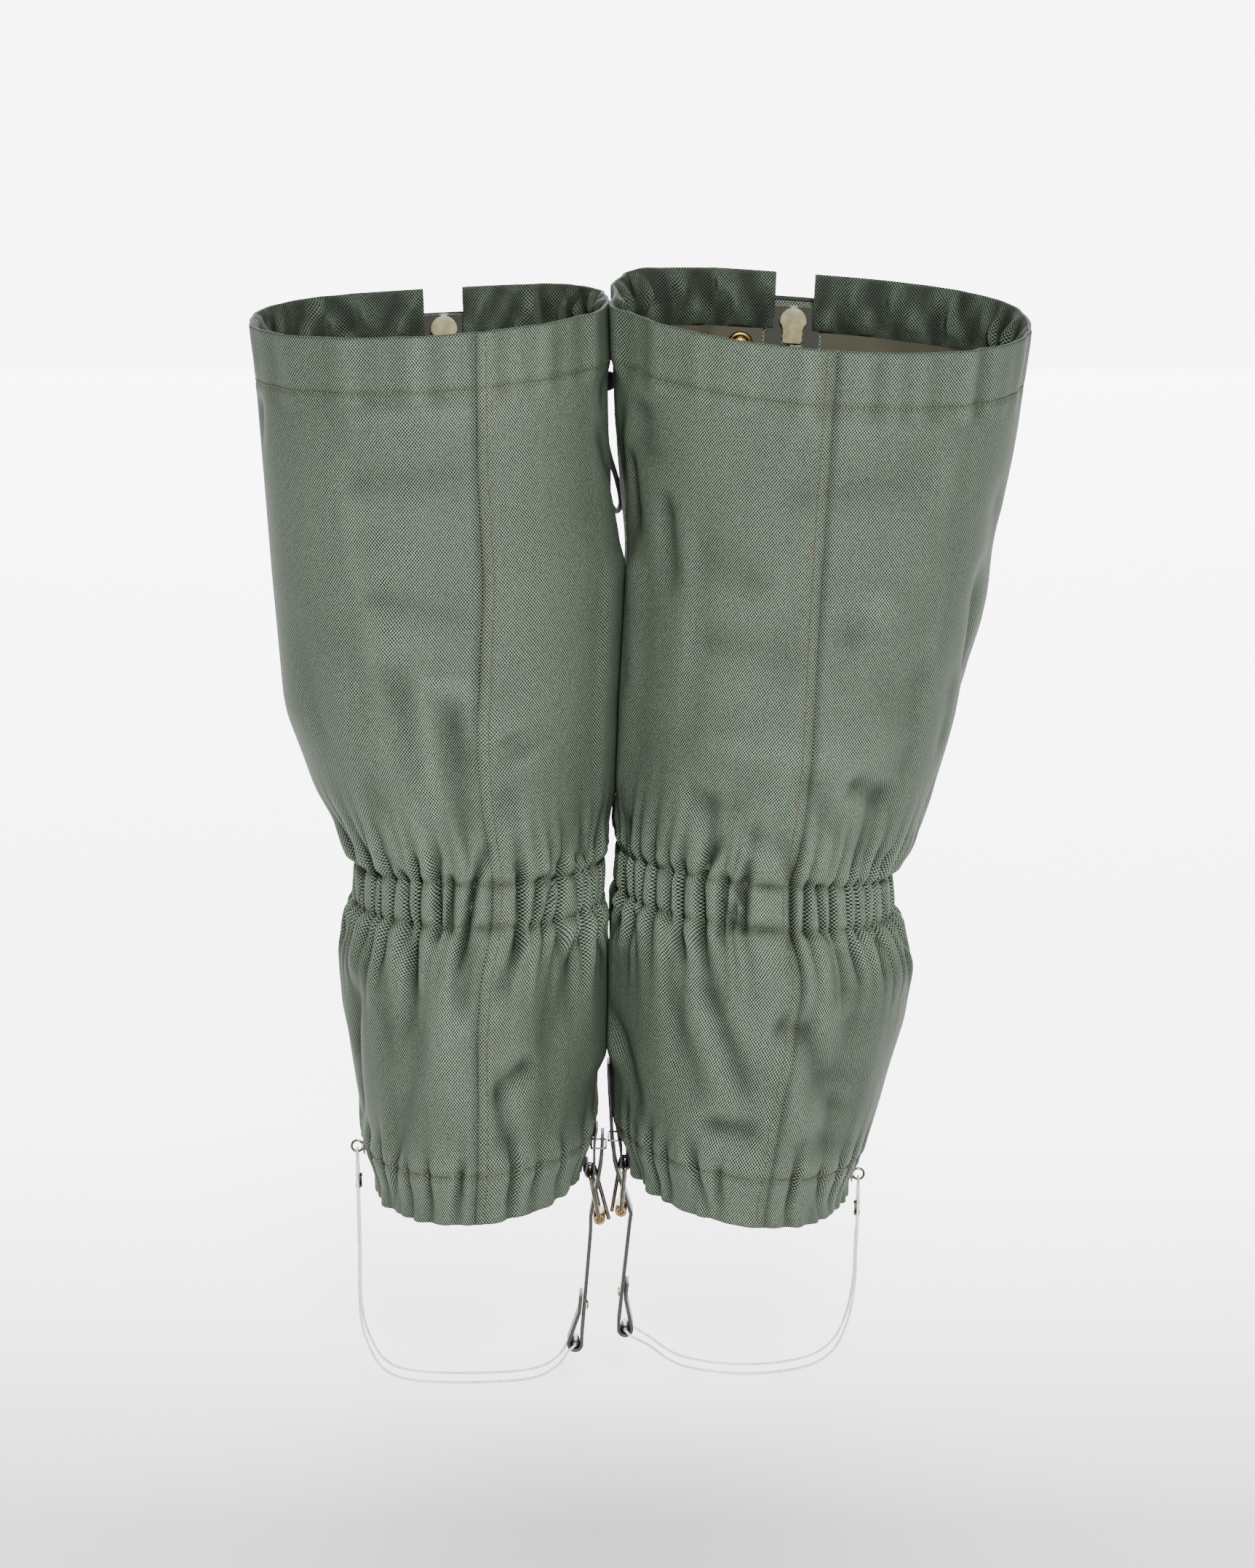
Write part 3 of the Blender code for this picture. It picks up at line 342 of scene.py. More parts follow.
def cloth_start(gaiter, heights, base, normal, along, cut_ratio):
    """The cloth before it settles, puckered along the stitched lines so that it knows where to gather."""
    rng = np.random.default_rng(gaiter.seed)
    edge = eased((along - along.min()) / 22) * eased((along.max() - along) / 22)
    push = np.zeros(base.shape[:2])
    for line, below, above in ((BAND_TOP, 7, 30), (BAND_FOOT, 34, 7), (HEM_LINE, 6, 26), (HEM, 26, 4)):
        wave, width = pleat_wave(rng, along)
        row = np.argmin(np.abs(heights - line))
        slope = math.sqrt(max(1 - 1 / cut_ratio[row] ** 2, 0.02))
        tall = heights[:, None] - line
        fade = np.where(tall > 0, near(tall, 0, above), near(tall, 0, below))
        push = np.maximum(push, wave[None, :] * width[None, :] * slope * 0.3 * fade)
    return base + normal * (push * edge)[..., None]


def creases_of(gaiter, rng, along, x_of, given, gaps):
    """Creases along a gathered line: the given ones, and others round the sides out of sight."""
    back = np.abs(along) < 62
    order = np.argsort(x_of[back])
    placed = [(float(np.interp(x, x_of[back][order], along[back][order])), *rest) for x, *rest in given]
    placed = [spot for spot in placed if abs(spot[0]) < 60]
    for side in (-1, 1):
        spot = side * max([abs(p[0]) for p in placed if p[0] * side > 0] + [30])
        end = along.min() if side < 0 else along.max()
        while True:
            spot += side * rng.uniform(*gaps)
            if (end - spot) * side < 16:
                break
            extent = [rng.uniform(0.4, 1) * max(p[k] for p in given) for k in range(1, len(given[0]))]
            placed.append((spot, *extent))
    return sorted(placed)


def puffs_between(creases, along, rise, most):
    """How far the cloth puffs out between neighbouring creases."""
    spots = [along.min() + 8, *[c[0] for c in creases], along.max() - 8]
    height = np.zeros_like(along)
    for low, high in zip(spots, spots[1:]):
        inside = (along >= low) & (along < high)
        t = (along[inside] - low) / max(high - low, 1e-6)
        height[inside] = min(rise * (high - low), most) * np.sin(np.pi * t) ** 0.55
    return height


def tapered(x, z, run_x, run_z, wide):
    """A fold's share of its depth: full along a line from the origin, fading past its ends and sides."""
    t = (x * run_x + z * run_z) / (run_x**2 + run_z**2)
    beside = (x * run_z - z * run_x) / math.hypot(run_x, run_z)
    ends = eased((t + 0.3) / 0.45) * eased((1.35 - t) / 0.65)
    width = wide * (0.8 + 0.5 * np.clip(t, 0, 1))
    return ends * np.exp(-np.abs(beside / width) ** 1.7)


def clear_of_front(along):
    """0 on the flat cloth beside the zip, rising to 1 away from it."""
    return eased((along - along.min() - FLAT_FRONT) / 20) * eased((along.max() - FLAT_FRONT - along) / 20)


def relief(gaiter, base, heights, along):
    """Folds and creases that the settled cloth carries, as distances along its normal."""
    rng = np.random.default_rng(gaiter.seed + 3)
    x, z = base[..., 0], base[..., 2]
    tall = heights[:, None]
    depth = np.zeros(x.shape)
    facing = eased((70 - np.abs(along)) / 14)[None, :]
    for (x0, z0), (x1, z1), wide, deep in gaiter.folds:
        depth -= FOLD_DEPTH * deep * tapered(x - x0, z - z0, x1 - x0, z1 - z0, wide * FOLD_WIDTH) * facing
    for _ in range(46):
        place = rng.choice((-1, 1)) * rng.uniform(76, 235)
        z0 = rng.choice((rng.uniform(140, 215), rng.uniform(265, 330), rng.uniform(330, 470)))
        lean = rng.normal(0, 0.5)
        length = rng.choice((-1, 1)) * rng.uniform(18, 60)
        far = tapered(along[None, :] - place, tall - z0, lean * length, length, rng.uniform(5, 11))
        depth -= rng.uniform(1.2, 3.4) * far

    row = np.argmin(np.abs(heights - BAND_TOP))
    ankle = creases_of(gaiter, rng, along, x[row], gaiter.ankle_creases, (5, 15))
    puff = puffs_between(ankle, along, 0.3, 2.6)
    above, below = tall - BAND_TOP, BAND_FOOT - tall
    middle = np.clip((tall - BAND_FOOT) / (BAND_TOP - BAND_FOOT), 0, 1)
    inside = 0.35 + 0.65 * np.sin(np.pi * middle)
    beyond = np.maximum(np.maximum(above, below), 0)
    outside = (0.35 + 0.9 * eased(beyond / 7)) * near(beyond, 0, 26)
    depth += puff[None, :] * np.where(beyond > 0, outside, inside)
    depth += 1.0 * (beyond / 9) * np.exp(1 - beyond / 9)
    for spot, up, down, deep in ankle:
        lean_up, lean_down = rng.normal(0, 0.22, 2)
        lean_band = rng.normal(0, 0.1)
        high, low = np.maximum(above, 0), np.maximum(below, 0)
        shift = spot + lean_up * high + lean_down * low + lean_band * (tall - BAND_FOOT)
        far = np.where(above > 0, high / up, low / down)
        strength = np.clip(1 - far, 0, 1) ** 1.1
        width = 1.4 + 0.2 * (high + low)
        beside = along[None, :] - shift
        depth -= 1.4 * deep * strength * near(beside, 0, width)
        broad = 3 + 0.12 * (high + low)
        depth -= 0.45 * deep * near(far, 0, 1.7) * near(beside, 0, broad)
    for line in (BAND_TOP, BAND_FOOT):
        depth -= 0.8 * near(tall, line, 1.4)

    row = np.argmin(np.abs(heights - HEM_LINE))
    hem = creases_of(gaiter, rng, along, x[row], gaiter.hem_creases, (9, 26))
    puff = puffs_between(hem, along, 0.12, 1.6)
    above = tall - HEM_LINE
    under = 1 - 0.35 * np.clip(-above / HEM_CASING, 0, 1)
    fade = np.where(above > 0, near(above, 0, 16), under)
    depth += puff[None, :] * fade
    for spot, up, deep in hem:
        lean = rng.normal(0, 0.2)
        high, low = np.maximum(above, 0), np.maximum(-above, 0)
        faded = np.clip(1 - high / up, 0, 1) ** 1.3
        strength = np.where(above > 0, faded, 1 - 0.6 * np.clip(low / HEM_CASING, 0, 1))
        width = 1.7 + 0.11 * high + 0.08 * low
        depth -= deep * strength * near(along[None, :] - spot, lean * above, width)
    depth -= 0.9 * near(tall, HEM_LINE, 1.5)

    casing = eased((tall - (TOP - TOP_CASING - 10)) / 8)
    ripples = sum(
        rng.uniform(0.1, 0.3) * np.sin(along / rng.uniform(2, 6) + rng.uniform(0, 6.3)) for _ in range(7)
    )
    strength = 0.7 + 0.3 * np.sin(along / 37)
    depth = depth * (1 - 0.85 * casing) + 1.3 * casing * (ripples * strength)[None, :]
    depth -= 0.5 * near(tall, CASING_LINE, 1.3)
    edge = clear_of_front(along)
    seam = 1 - 0.4 * near(along, 0, 7)
    lap = 0.7 * near(along, 0.8, 1.1) + 0.35 * near(along, -3.2, 1.1)
    return depth * (edge * seam)[None, :] - lap[None, :]


CLOTH_SETTINGS = dict(
    quality=6, mass=0.4, tension_stiffness=40, compression_stiffness=40, shear_stiffness=12,
    bending_stiffness=6, tension_damping=15, compression_damping=15, shear_damping=10, bending_damping=2,
    air_damping=4, use_pressure=True, uniform_pressure_force=0.7,
)


def settle(name, start, flat, pinned):
    """Blender's cloth lets the sheet, cut to its flat size, find its folds between the pinned lines."""
    rows, columns = start.shape[:2]
    scene = bpy.context.scene
    mesh = bpy.data.meshes.new(name)
    index = np.arange(rows * columns).reshape(rows, columns)
    faces = np.stack([index[:-1, :-1], index[:-1, 1:], index[1:, 1:], index[1:, :-1]], -1).reshape(-1, 4)
    factor = SIM_SCALE * MM
    mesh.from_pydata((start.reshape(-1, 3) * factor).tolist(), [], faces.tolist())
    piece = bpy.data.objects.new(name, mesh)
    scene.collection.objects.link(piece)
    piece.shape_key_add(name="Basis")
    cut = piece.shape_key_add(name="cut")
    cut.data.foreach_set("co", (flat.reshape(-1, 3) * factor).ravel())
    group = piece.vertex_groups.new(name="pinned")
    group.add(np.flatnonzero(pinned.ravel()).tolist(), 1.0, "REPLACE")
    cloth = piece.modifiers.new("Cloth", "CLOTH")
    settings = cloth.settings
    settings.rest_shape_key = cut
    settings.vertex_group_mass = "pinned"
    for setting, value in CLOTH_SETTINGS.items():
        setattr(settings, setting, value)
    settings.effector_weights.gravity = 0.12
    cloth.collision_settings.use_collision = False
    cloth.collision_settings.use_self_collision = False
    cloth.point_cache.frame_start = 1
    cloth.point_cache.frame_end = SIM_FRAMES
    for frame_number in range(1, SIM_FRAMES + 1):
        scene.frame_set(frame_number)
    settled = piece.evaluated_get(bpy.context.evaluated_depsgraph_get()).to_mesh()
    points = np.empty(rows * columns * 3)
    settled.vertices.foreach_get("co", points)
    bpy.data.objects.remove(piece)
    bpy.data.meshes.remove(mesh)
    scene.frame_set(1)
    return points.reshape(rows, columns, 3) / factor


def finer(grid, times):
    """The grid with this many times more rows and columns, along a smooth curve through its points."""
    for axis in (0, 1):
        grid = np.moveaxis(grid, axis, 0)
        count = grid.shape[0]
        spots = np.linspace(0, count - 1, (count - 1) * times + 1)
        low = np.minimum(spots.astype(int), count - 2)
        t = (spots - low).reshape(-1, *[1] * (grid.ndim - 1))
        before = grid[np.maximum(low - 1, 0)]
        one, two = grid[low], grid[low + 1]
        after = grid[np.minimum(low + 2, count - 1)]
        bend = (2 * before - 5 * one + 4 * two - after) * t**2 + (3 * one - before - 3 * two + after) * t**3
        grid = np.moveaxis(one + ((two - before) * t + bend) / 2, 0, axis)
    return grid


def smoothed(values, times):
    """Each row and column averaged with its neighbours, ends kept."""
    for _ in range(times):
        for axis in (0, 1):
            values = np.moveaxis(values, axis, 0).copy()
            values[1:-1] = (values[:-2] + 2 * values[1:-1] + values[2:]) / 4
            values = np.moveaxis(values, 0, axis)
    return values


def between_plane(heights):
    """Across, for the right gaiter, of the plane halfway between the two gaiters at each height."""
    inner_left = -sizes_at(LEFT, heights)[1]
    inner_right = sizes_at(RIGHT, heights)[1]
    return (inner_left + inner_right) / 2


@dataclass
class Leg:
    """A gaiter's finished cloth: its points, normals, place on the flat cut, and the seam's column."""

    gaiter: Gaiter
    points: np.ndarray
    normals: np.ndarray
    heights: np.ndarray
    across_cut: np.ndarray
    up_cut: np.ndarray
    seam: int
    shade: np.ndarray  # painted shade: 1 on open cloth, less in creases

    def spot(self, height, cut, lift=0.0):
        """A point of the cloth, at a height and a distance from the back seam, and its normal."""
        row = np.interp(height, self.heights, np.arange(len(self.heights)))
        column = np.interp(cut, self.across_cut, np.arange(len(self.across_cut)))
        j, i = min(int(row), len(self.heights) - 2), min(int(column), len(self.across_cut) - 2)
        t, s = row - j, column - i
        found = []
        for grid in (self.points, self.normals):
            low = grid[j, i] * (1 - s) + grid[j, i + 1] * s
            high = grid[j + 1, i] * (1 - s) + grid[j + 1, i + 1] * s
            found.append(Vector(low * (1 - t) + high * t))
        return found[0] + found[1] * lift, found[1].normalized()


def base_grid(gaiter, heights):
    """The measured surface, its columns' places on the cut, each row's gathering, and the seam's column."""
    angles, lengths, count = {}, {}, {}
    for side in (-1, 1):
        _, rough = even_angles(gaiter, heights, side, 4)
        count[side] = round(rough.max() / CELL)
        angles[side], lengths[side] = even_angles(gaiter, heights, side, count[side])
    turn = np.concatenate([angles[-1][:, :0:-1], angles[1]], 1)
    tall = np.repeat(heights[:, None], turn.shape[1], 1)
    cut = {side: lengths[side].max() for side in (-1, 1)}
    halves = np.linspace(-cut[-1], 0, count[-1] + 1)[:-1], np.linspace(0, cut[1], count[1] + 1)
    ratio = (cut[-1] + cut[1]) / (lengths[-1] + lengths[1])
    return wall(gaiter, tall, turn), np.concatenate(halves), ratio, count[-1]


def settled_cloth(gaiter, heights, base, normal, along, ratio):
    """The cloth after it settles, and its rows' places on the flat cut."""
    start = cloth_start(gaiter, heights, base, normal, along, ratio)
    rise = np.linalg.norm(np.diff(base, axis=0), axis=2).mean(1) * ROW_SLACK
    up = np.concatenate([[0], np.cumsum(rise)])
    flat = np.stack(np.broadcast_arrays(along[None], 0.0, up[:, None]), -1)
    pinned = np.zeros(base.shape[:2], bool)
    pinned[:, :PINNED_EDGE] = pinned[:, -PINNED_EDGE:] = True
    pinned[0] = pinned[-1] = True
    for line in (BAND_TOP, BAND_FOOT, HEM_LINE):
        pinned[np.argmin(np.abs(heights - line))] = True
    settled = settle(f"{gaiter.name}_settling", start, flat, pinned)
    moved = smoothed(settled - base, 1) * clear_of_front(along)[None, :, None]
    out = (moved * normal).sum(2, keepdims=True)
    kept = np.where(out > 0, 3 * np.tanh(out / 3), 0.8 * np.tanh(out / 0.8))
    return base + moved + normal * (kept - out), up


def press_under_lock(gaiter, points):
    """Holds the cloth back where the cord lock lies on it."""
    cord_at, back, down, out = [np.array(way) for way in cord_frame(gaiter)]
    reach = points - cord_at
    proud = reach @ out
    under_lock = eased((17 - np.abs(reach @ back)) / 6) * eased((74 - reach @ down) / 12)
    points -= out * (under_lock * np.maximum(proud - 0.3, 0))[..., None]


def painted_shade(heights, along, sideways, folds):
    """Painted shade on the cloth's colour: 1 where the cloth lies open, less in creases, on stitched lines,
    on the seam, on the ankle band and at the sides.
    """
    hollow = folds - smoothed(folds, 26)
    narrow = folds - smoothed(folds, 5)
    shade = 1.0 + 0.34 * np.tanh(hollow / 1.8) + 0.4 * narrow
    for line in (CASING_LINE, BAND_TOP, BAND_FOOT, HEM_LINE):
        shade -= 0.12 * near(heights[:, None], line, 1.6)
    shade -= 0.6 * near(along[None, :], 2.4, 1.3)
    band = eased((heights - BAND_FOOT + 8) / 10) * eased((BAND_TOP + 8 - heights) / 10)
    # Painted shade: the cloth is darkened where it turns towards the sides.
    side_shade = 0.22 * eased((sideways - 0.3) / 0.6)
    return np.clip((shade - 0.1 * band[:, None]) * (1 - side_shade), 0.25, 1.2)


def bring_together(gaiter, points, heights, along):
    """Presses the gaiter's inner side against its neighbour's, with a gap at the cord's height."""
    ahead = points[..., 1] - MEETING_Y
    plane = between_plane(heights)[:, None] + 1.5 * np.sin(ahead / 8)
    beside = gaiter.sign * (points[..., 0] - plane)
    close = near(ahead, 0, 17) * eased((12 - beside) / 5)
    open_above = eased((heights - 386) / 12) * (1 - eased((heights - 474) / 10))
    above = eased((heights - 268) / 22) * (1 - 0.7 * open_above)
    below = eased((heights - 150) / 14) * eased((226 - heights) / 14)
    touching = above + below
    close *= touching[:, None] * eased((np.abs(along) - 30) / 14)[None, :]
    points[..., 0] -= gaiter.sign * close * (beside - MEETING_ROOM)
    beside = gaiter.sign * (points[..., 0] - plane)
    points[..., 0] += gaiter.sign * np.maximum(MEETING_ROOM - beside, 0)


def make_leg(gaiter):
    heights = np.linspace(HEM, TOP, round((TOP - HEM) / CELL) + 1)
    base, along, ratio, seam = base_grid(gaiter, heights)
    normal = normals_of(base, base.mean(axis=(0, 1)))
    points, up = settled_cloth(gaiter, heights, base, normal, along, ratio)
    points = finer(points, FINER)
    heights = np.linspace(HEM, TOP, points.shape[0])
    along, up = resampled(along, points.shape[1]), resampled(up, points.shape[0])
    folds = relief(gaiter, finer(base, FINER), heights, along)
    normal = finer(normal, FINER)
    points += normal * folds[..., None]
    press_under_lock(gaiter, points)
    shade = painted_shade(heights, along, np.abs(normal[..., 0]), folds)
    bring_together(gaiter, points, heights, along)
    normals = normals_of(points, points.mean(axis=(0, 1)))
    return Leg(gaiter, points, normals, heights, along, up, seam * FINER, shade)


# ---------------------------------------------------------------- finishes

def srgb(red, green, blue):
    """A colour given as it looks on a screen, 0 to 255, as the linear values that shaders take."""
    channels = [c / 255 for c in (red, green, blue)]
    return (*[c / 12.92 if c <= 0.04045 else ((c + 0.055) / 1.055) ** 2.4 for c in channels], 1.0)


class Finish:
    """A procedural material. Each method adds nodes and returns the socket that comes out."""

    def __init__(self, name, **sockets):
        self.material = bpy.data.materials.new(name)
        self.material.use_nodes = True
        self.tree = self.material.node_tree
        self.shader = self.tree.nodes["Principled BSDF"]
        for socket, value in sockets.items():
            self.shader.inputs[socket.replace("_", " ")].default_value = value

    def feed(self, target, value):
        if isinstance(value, bpy.types.NodeSocket):
            self.tree.links.new(value, target)
        else:
            target.default_value = value

    def math(self, operation, one, two=0.0):
        node = self.tree.nodes.new("ShaderNodeMath")
        node.operation = operation
        self.feed(node.inputs[0], one)
        self.feed(node.inputs[1], two)
        return node.outputs[0]

    def spot(self):
        """Where the point is on the object, in metres."""
        return self.tree.nodes.new("ShaderNodeTexCoord").outputs["Object"]

    def noise(self, scale, detail=3.0, roughness=0.55, where=None):
        node = self.tree.nodes.new("ShaderNodeTexNoise")
        node.inputs["Scale"].default_value = scale
        node.inputs["Detail"].default_value = detail
        node.inputs["Roughness"].default_value = roughness
        self.feed(node.inputs["Vector"], where or self.spot())
        return node.outputs["Fac"]

    def stretched(self, x, y, z):
        node = self.tree.nodes.new("ShaderNodeMapping")
        node.inputs["Scale"].default_value = (x, y, z)
        self.feed(node.inputs["Vector"], self.spot())
        return node.outputs[0]

    def ramp(self, value, *stops):
        """A colour for each value: stops are (value, colour)."""
        node = self.tree.nodes.new("ShaderNodeValToRGB")
        band = node.color_ramp
        while len(band.elements) < len(stops):
            band.elements.new(0.5)
        for element, (place, colour) in zip(band.elements, stops):
            element.position = place
            element.color = colour
        self.feed(node.inputs[0], value)
        return node.outputs[0]

    def blend(self, share, one, two, kind="MIX"):
        node = self.tree.nodes.new("ShaderNodeMix")
        node.data_type = "RGBA"
        node.blend_type = kind
        self.feed(node.inputs[0], share)
        self.feed(node.inputs[6], one)
        self.feed(node.inputs[7], two)
        return node.outputs[2]

    def span(self, value, low, high):
        """0 to 1 stretched to low to high."""
        return self.math("ADD", self.math("MULTIPLY", value, high - low), low)

    def bump(self, height, distance):
        """Relief of this depth, in millimetres."""
        node = self.tree.nodes.new("ShaderNodeBump")
        node.inputs["Distance"].default_value = distance * MM
        node.inputs["Strength"].default_value = 1.0
        self.feed(node.inputs["Height"], height)
        self.tree.links.new(node.outputs[0], self.shader.inputs["Normal"])

    def colour(self, value):
        self.feed(self.shader.inputs["Base Color"], value)

    def rough(self, value):
        self.feed(self.shader.inputs["Roughness"], value)

    def cloth_axes(self):
        """Distances along the cut cloth, in millimetres, and its painted shade, darkest in creases, which
        the mesh carries.
        """
        node = self.tree.nodes.new("ShaderNodeAttribute")
        node.attribute_name = "cloth"
        parts = self.tree.nodes.new("ShaderNodeSeparateXYZ")
        self.tree.links.new(node.outputs["Vector"], parts.inputs[0])
        return parts.outputs


def woven(name, dark, light, across, up, relief, **sockets):
    """Plain weave: the threads that lie on top form a staggered lattice of light dots."""
    made = Finish(name, **sockets)
    u, v, painted_shading = made.cloth_axes()
    wobble = made.math("MULTIPLY", made.noise(120, 2), 0.5)
    waves = [
        made.math("COSINE", made.math("MULTIPLY", made.math("ADD", axis, wobble), 2 * math.pi / pitch))
        for axis, pitch in ((u, across * 2), (v, up * 2))
    ]
    dots = made.math("MULTIPLY", *waves)
    level = made.span(dots, 0.5, 1.0)
    fleck = made.noise(900, 2)
    uneven = made.math("ADD", level, made.span(fleck, -0.2, 0.2))
    # Broad random patches: partly the nylon's own mottling, partly painted unevenness of light.
    mottling_and_shade = made.noise(10, 3)
    base = made.ramp(uneven, (0.3, dark), (0.8, light))
    # Painted shade: the shade that the mesh carries, times the broad patches, darkens the woven colour.
    shade = made.math("MULTIPLY", made.span(mottling_and_shade, 0.7, 1.3), painted_shading)
    shade_colour = made.tree.nodes.new("ShaderNodeCombineColor")
    for channel in shade_colour.inputs:
        made.feed(channel, shade)
    made.colour(made.blend(1.0, base, shade_colour.outputs[0], "MULTIPLY"))
    made.rough(made.span(fleck, 0.5, 0.8))
    made.bump(made.math("ADD", level, made.math("MULTIPLY", fleck, 0.5)), relief)
    return made.material


def grained(name, dark, light, scale, relief, rough_low, rough_high, where=None, **sockets):
    """A plain surface with an uneven colour, roughness and relief."""
    made = Finish(name, **sockets)
    place = made.stretched(*where) if where else None
    fine = made.noise(scale, 5, where=place)
    broad = made.noise(scale / 12, 3)
    made.colour(made.ramp(made.math("ADD", fine, made.span(broad, -0.25, 0.25)), (0.3, dark), (0.7, light)))
    made.rough(made.span(broad, rough_low, rough_high))
    made.bump(fine, relief)
    return made.material


def make_finishes():
    fabric = woven("green_nylon", srgb(10, 15, 11), srgb(114, 128, 110), 0.685, 0.87, 0.11,
                   Specular_IOR_Level=0.08)
    lining = woven("khaki_lining", srgb(26, 27, 14), srgb(60, 60, 36), 0.25, 0.25, 0.03)
    tape = woven("olive_tape", srgb(16, 17, 10), srgb(40, 41, 27), 0.4, 0.3, 0.06)
    return {
        "fabric": fabric,
        "lining": lining,
        "thread": grained("khaki_thread", srgb(40, 33, 18), srgb(90, 76, 48), 2500, 0.05, 0.5, 0.7),
        "green_thread": grained("green_thread", srgb(70, 80, 66), srgb(126, 138, 120), 2500, 0.05, 0.5, 0.7),
        "elastic": grained("ribbed_elastic", srgb(26, 30, 26), srgb(52, 58, 50), 700, 0.3, 0.7, 0.9,
                           (3, 3, 0.3)),
        "zip": tape,
        "teeth": grained("moulded_teeth", srgb(58, 60, 46), srgb(84, 86, 68), 500, 0.03, 0.3, 0.45),
        "slider": grained("olive_zinc", srgb(104, 99, 70), srgb(144, 139, 100), 260, 0.05, 0.4, 0.55,
                          Specular_IOR_Level=0.6),
        "touch_tape": grained("touch_tape_pile", srgb(14, 15, 14), srgb(52, 54, 50), 1400, 0.8, 0.8, 0.95),
        "brass": grained("worn_brass", srgb(112, 84, 42), srgb(176, 144, 86), 320, 0.03, 0.22, 0.42,
                         Metallic=1.0),
        "cord": grained("black_braid", srgb(12, 12, 12), srgb(46, 46, 45), 1300, 0.25, 0.6, 0.8),
        "lock": grained("black_nylon", srgb(16, 16, 17), srgb(34, 34, 35), 240, 0.04, 0.3, 0.5),
        # Painted reflection: the nickel plate is coloured dark, as if it mirrored the black boots around it.
        "steel": grained("nickel_plate", srgb(62, 58, 50), srgb(118, 111, 98), 300, 0.02, 0.18, 0.36,
                         Metallic=1.0),
        "leather": grained("black_leather", srgb(14, 14, 14), srgb(46, 45, 43), 620, 0.18, 0.38, 0.6),
        "cable": grained("coated_wire_rope", srgb(176, 176, 170), srgb(226, 226, 220), 800, 0.15, 0.25, 0.4,
                         (1, 1, 0.4), Coat_Weight=0.6),
        "dark_cloth": grained("black_binding", srgb(16, 17, 16), srgb(44, 46, 43), 1500, 0.15, 0.7, 0.9),
    }


FINISHES = make_finishes()


def dressed(made, finish, body, *stands_for):
    """Links the piece, gives it its finish, and hangs it on the CAD body that it moves with."""
    made.data.materials.append(FINISHES[finish])
    if made.name not in bpy.context.scene.collection.objects:
        bpy.context.scene.collection.objects.link(made)
    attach(made, body)
    if stands_for:
        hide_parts(*stands_for)
    return made


# ---------------------------------------------------------------- meshes

def mesh_of(name, points, faces, cloth=None, sharp=None):
    mesh = bpy.data.meshes.new(name)
    mesh.from_pydata((np.asarray(points, float).reshape(-1, 3) * MM).tolist(), [], faces)
    if cloth is not None:
        layer = mesh.attributes.new("cloth", "FLOAT_VECTOR", "POINT")
        flat = np.ones((len(mesh.vertices), 3))
        given = np.asarray(cloth, float)
        flat[:, :given.shape[-1]] = given.reshape(len(flat), -1)
        layer.data.foreach_set("vector", flat.astype(np.float32).ravel())
    mesh.shade_smooth()
    if sharp:
        mesh.set_sharp_from_angle(angle=math.radians(sharp))
    return bpy.data.objects.new(name, mesh)


def thick_sheet(name, face, outward, cloth, thickness):
    """A closed sheet from a grid of points on its good face, and the ways out of that face."""
    rows, columns = face.shape[:2]
    back = face - outward * thickness
    count = rows * columns
    index = np.arange(count).reshape(rows, columns)
    quads = np.stack([index[:-1, :-1], index[:-1, 1:], index[1:, 1:], index[1:, :-1]], -1).reshape(-1, 4)
    j, i = rows // 2, columns // 2
    turned = np.cross(face[j, i + 1] - face[j, i], face[j + 1, i] - face[j, i]) @ outward[j, i]
    rim = np.concatenate([index[0, :-1], index[:-1, -1], index[-1, :0:-1], index[:0:-1, 0]])
    after = np.roll(rim, -1)
    sides = np.stack([after, rim, rim + count, after + count], -1)
    faces = np.concatenate([quads, quads[:, ::-1] + count, sides])
    if turned < 0:
        faces = faces[:, ::-1]
    points = np.concatenate([face.reshape(-1, 3), back.reshape(-1, 3)])
    flat = np.concatenate([cloth.reshape(-1, cloth.shape[-1])] * 2)
    return mesh_of(name, points, faces.tolist(), flat, sharp=50)


def solid(name, rings, bevel=0.0, closed=False, sharp=35):
    """A skin over rings of points, with flat ends unless the rings close on themselves."""
    shape = bmesh.new()
    loops = [[shape.verts.new(Vector(point) * MM) for point in ring] for ring in rings]
    pairs = list(zip(loops, loops[1:]))
    if closed:
        pairs.append((loops[-1], loops[0]))
    else:
        shape.faces.new(loops[0])
        shape.faces.new(loops[-1])
    for one, two in pairs:
        for i in range(len(one)):
            j = (i + 1) % len(one)
            shape.faces.new((one[i], one[j], two[j], two[i]))
    bmesh.ops.recalc_face_normals(shape, faces=shape.faces)
    if bevel:
        edges = [e for e in shape.edges if e.is_manifold and e.calc_face_angle() > math.radians(30)]
        bmesh.ops.bevel(shape, geom=edges, offset=bevel * MM, segments=3, profile=0.5, affect="EDGES",
                        clamp_overlap=True)
    mesh = bpy.data.meshes.new(name)
    shape.to_mesh(mesh)
    shape.free()
    mesh.shade_smooth()
    mesh.set_sharp_from_angle(angle=math.radians(sharp))
    return bpy.data.objects.new(name, mesh)


def ring_about(centre, axis, radius, count):
    first = axis.cross(Vector((0.31, 0.17, 0.93))).normalized()
    second = axis.cross(first).normalized()
    turns = [2 * math.pi * i / count for i in range(count)]
    return [centre + (first * math.cos(a) + second * math.sin(a)) * radius for a in turns]


def turned(name, centre, axis, profile, closed=False):
    """A turned piece: the profile is (radius, distance along the axis)."""
    rings = [ring_about(centre + axis * along, axis, radius, 40) for radius, along in profile]
    return solid(name, rings, closed=closed, sharp=40)


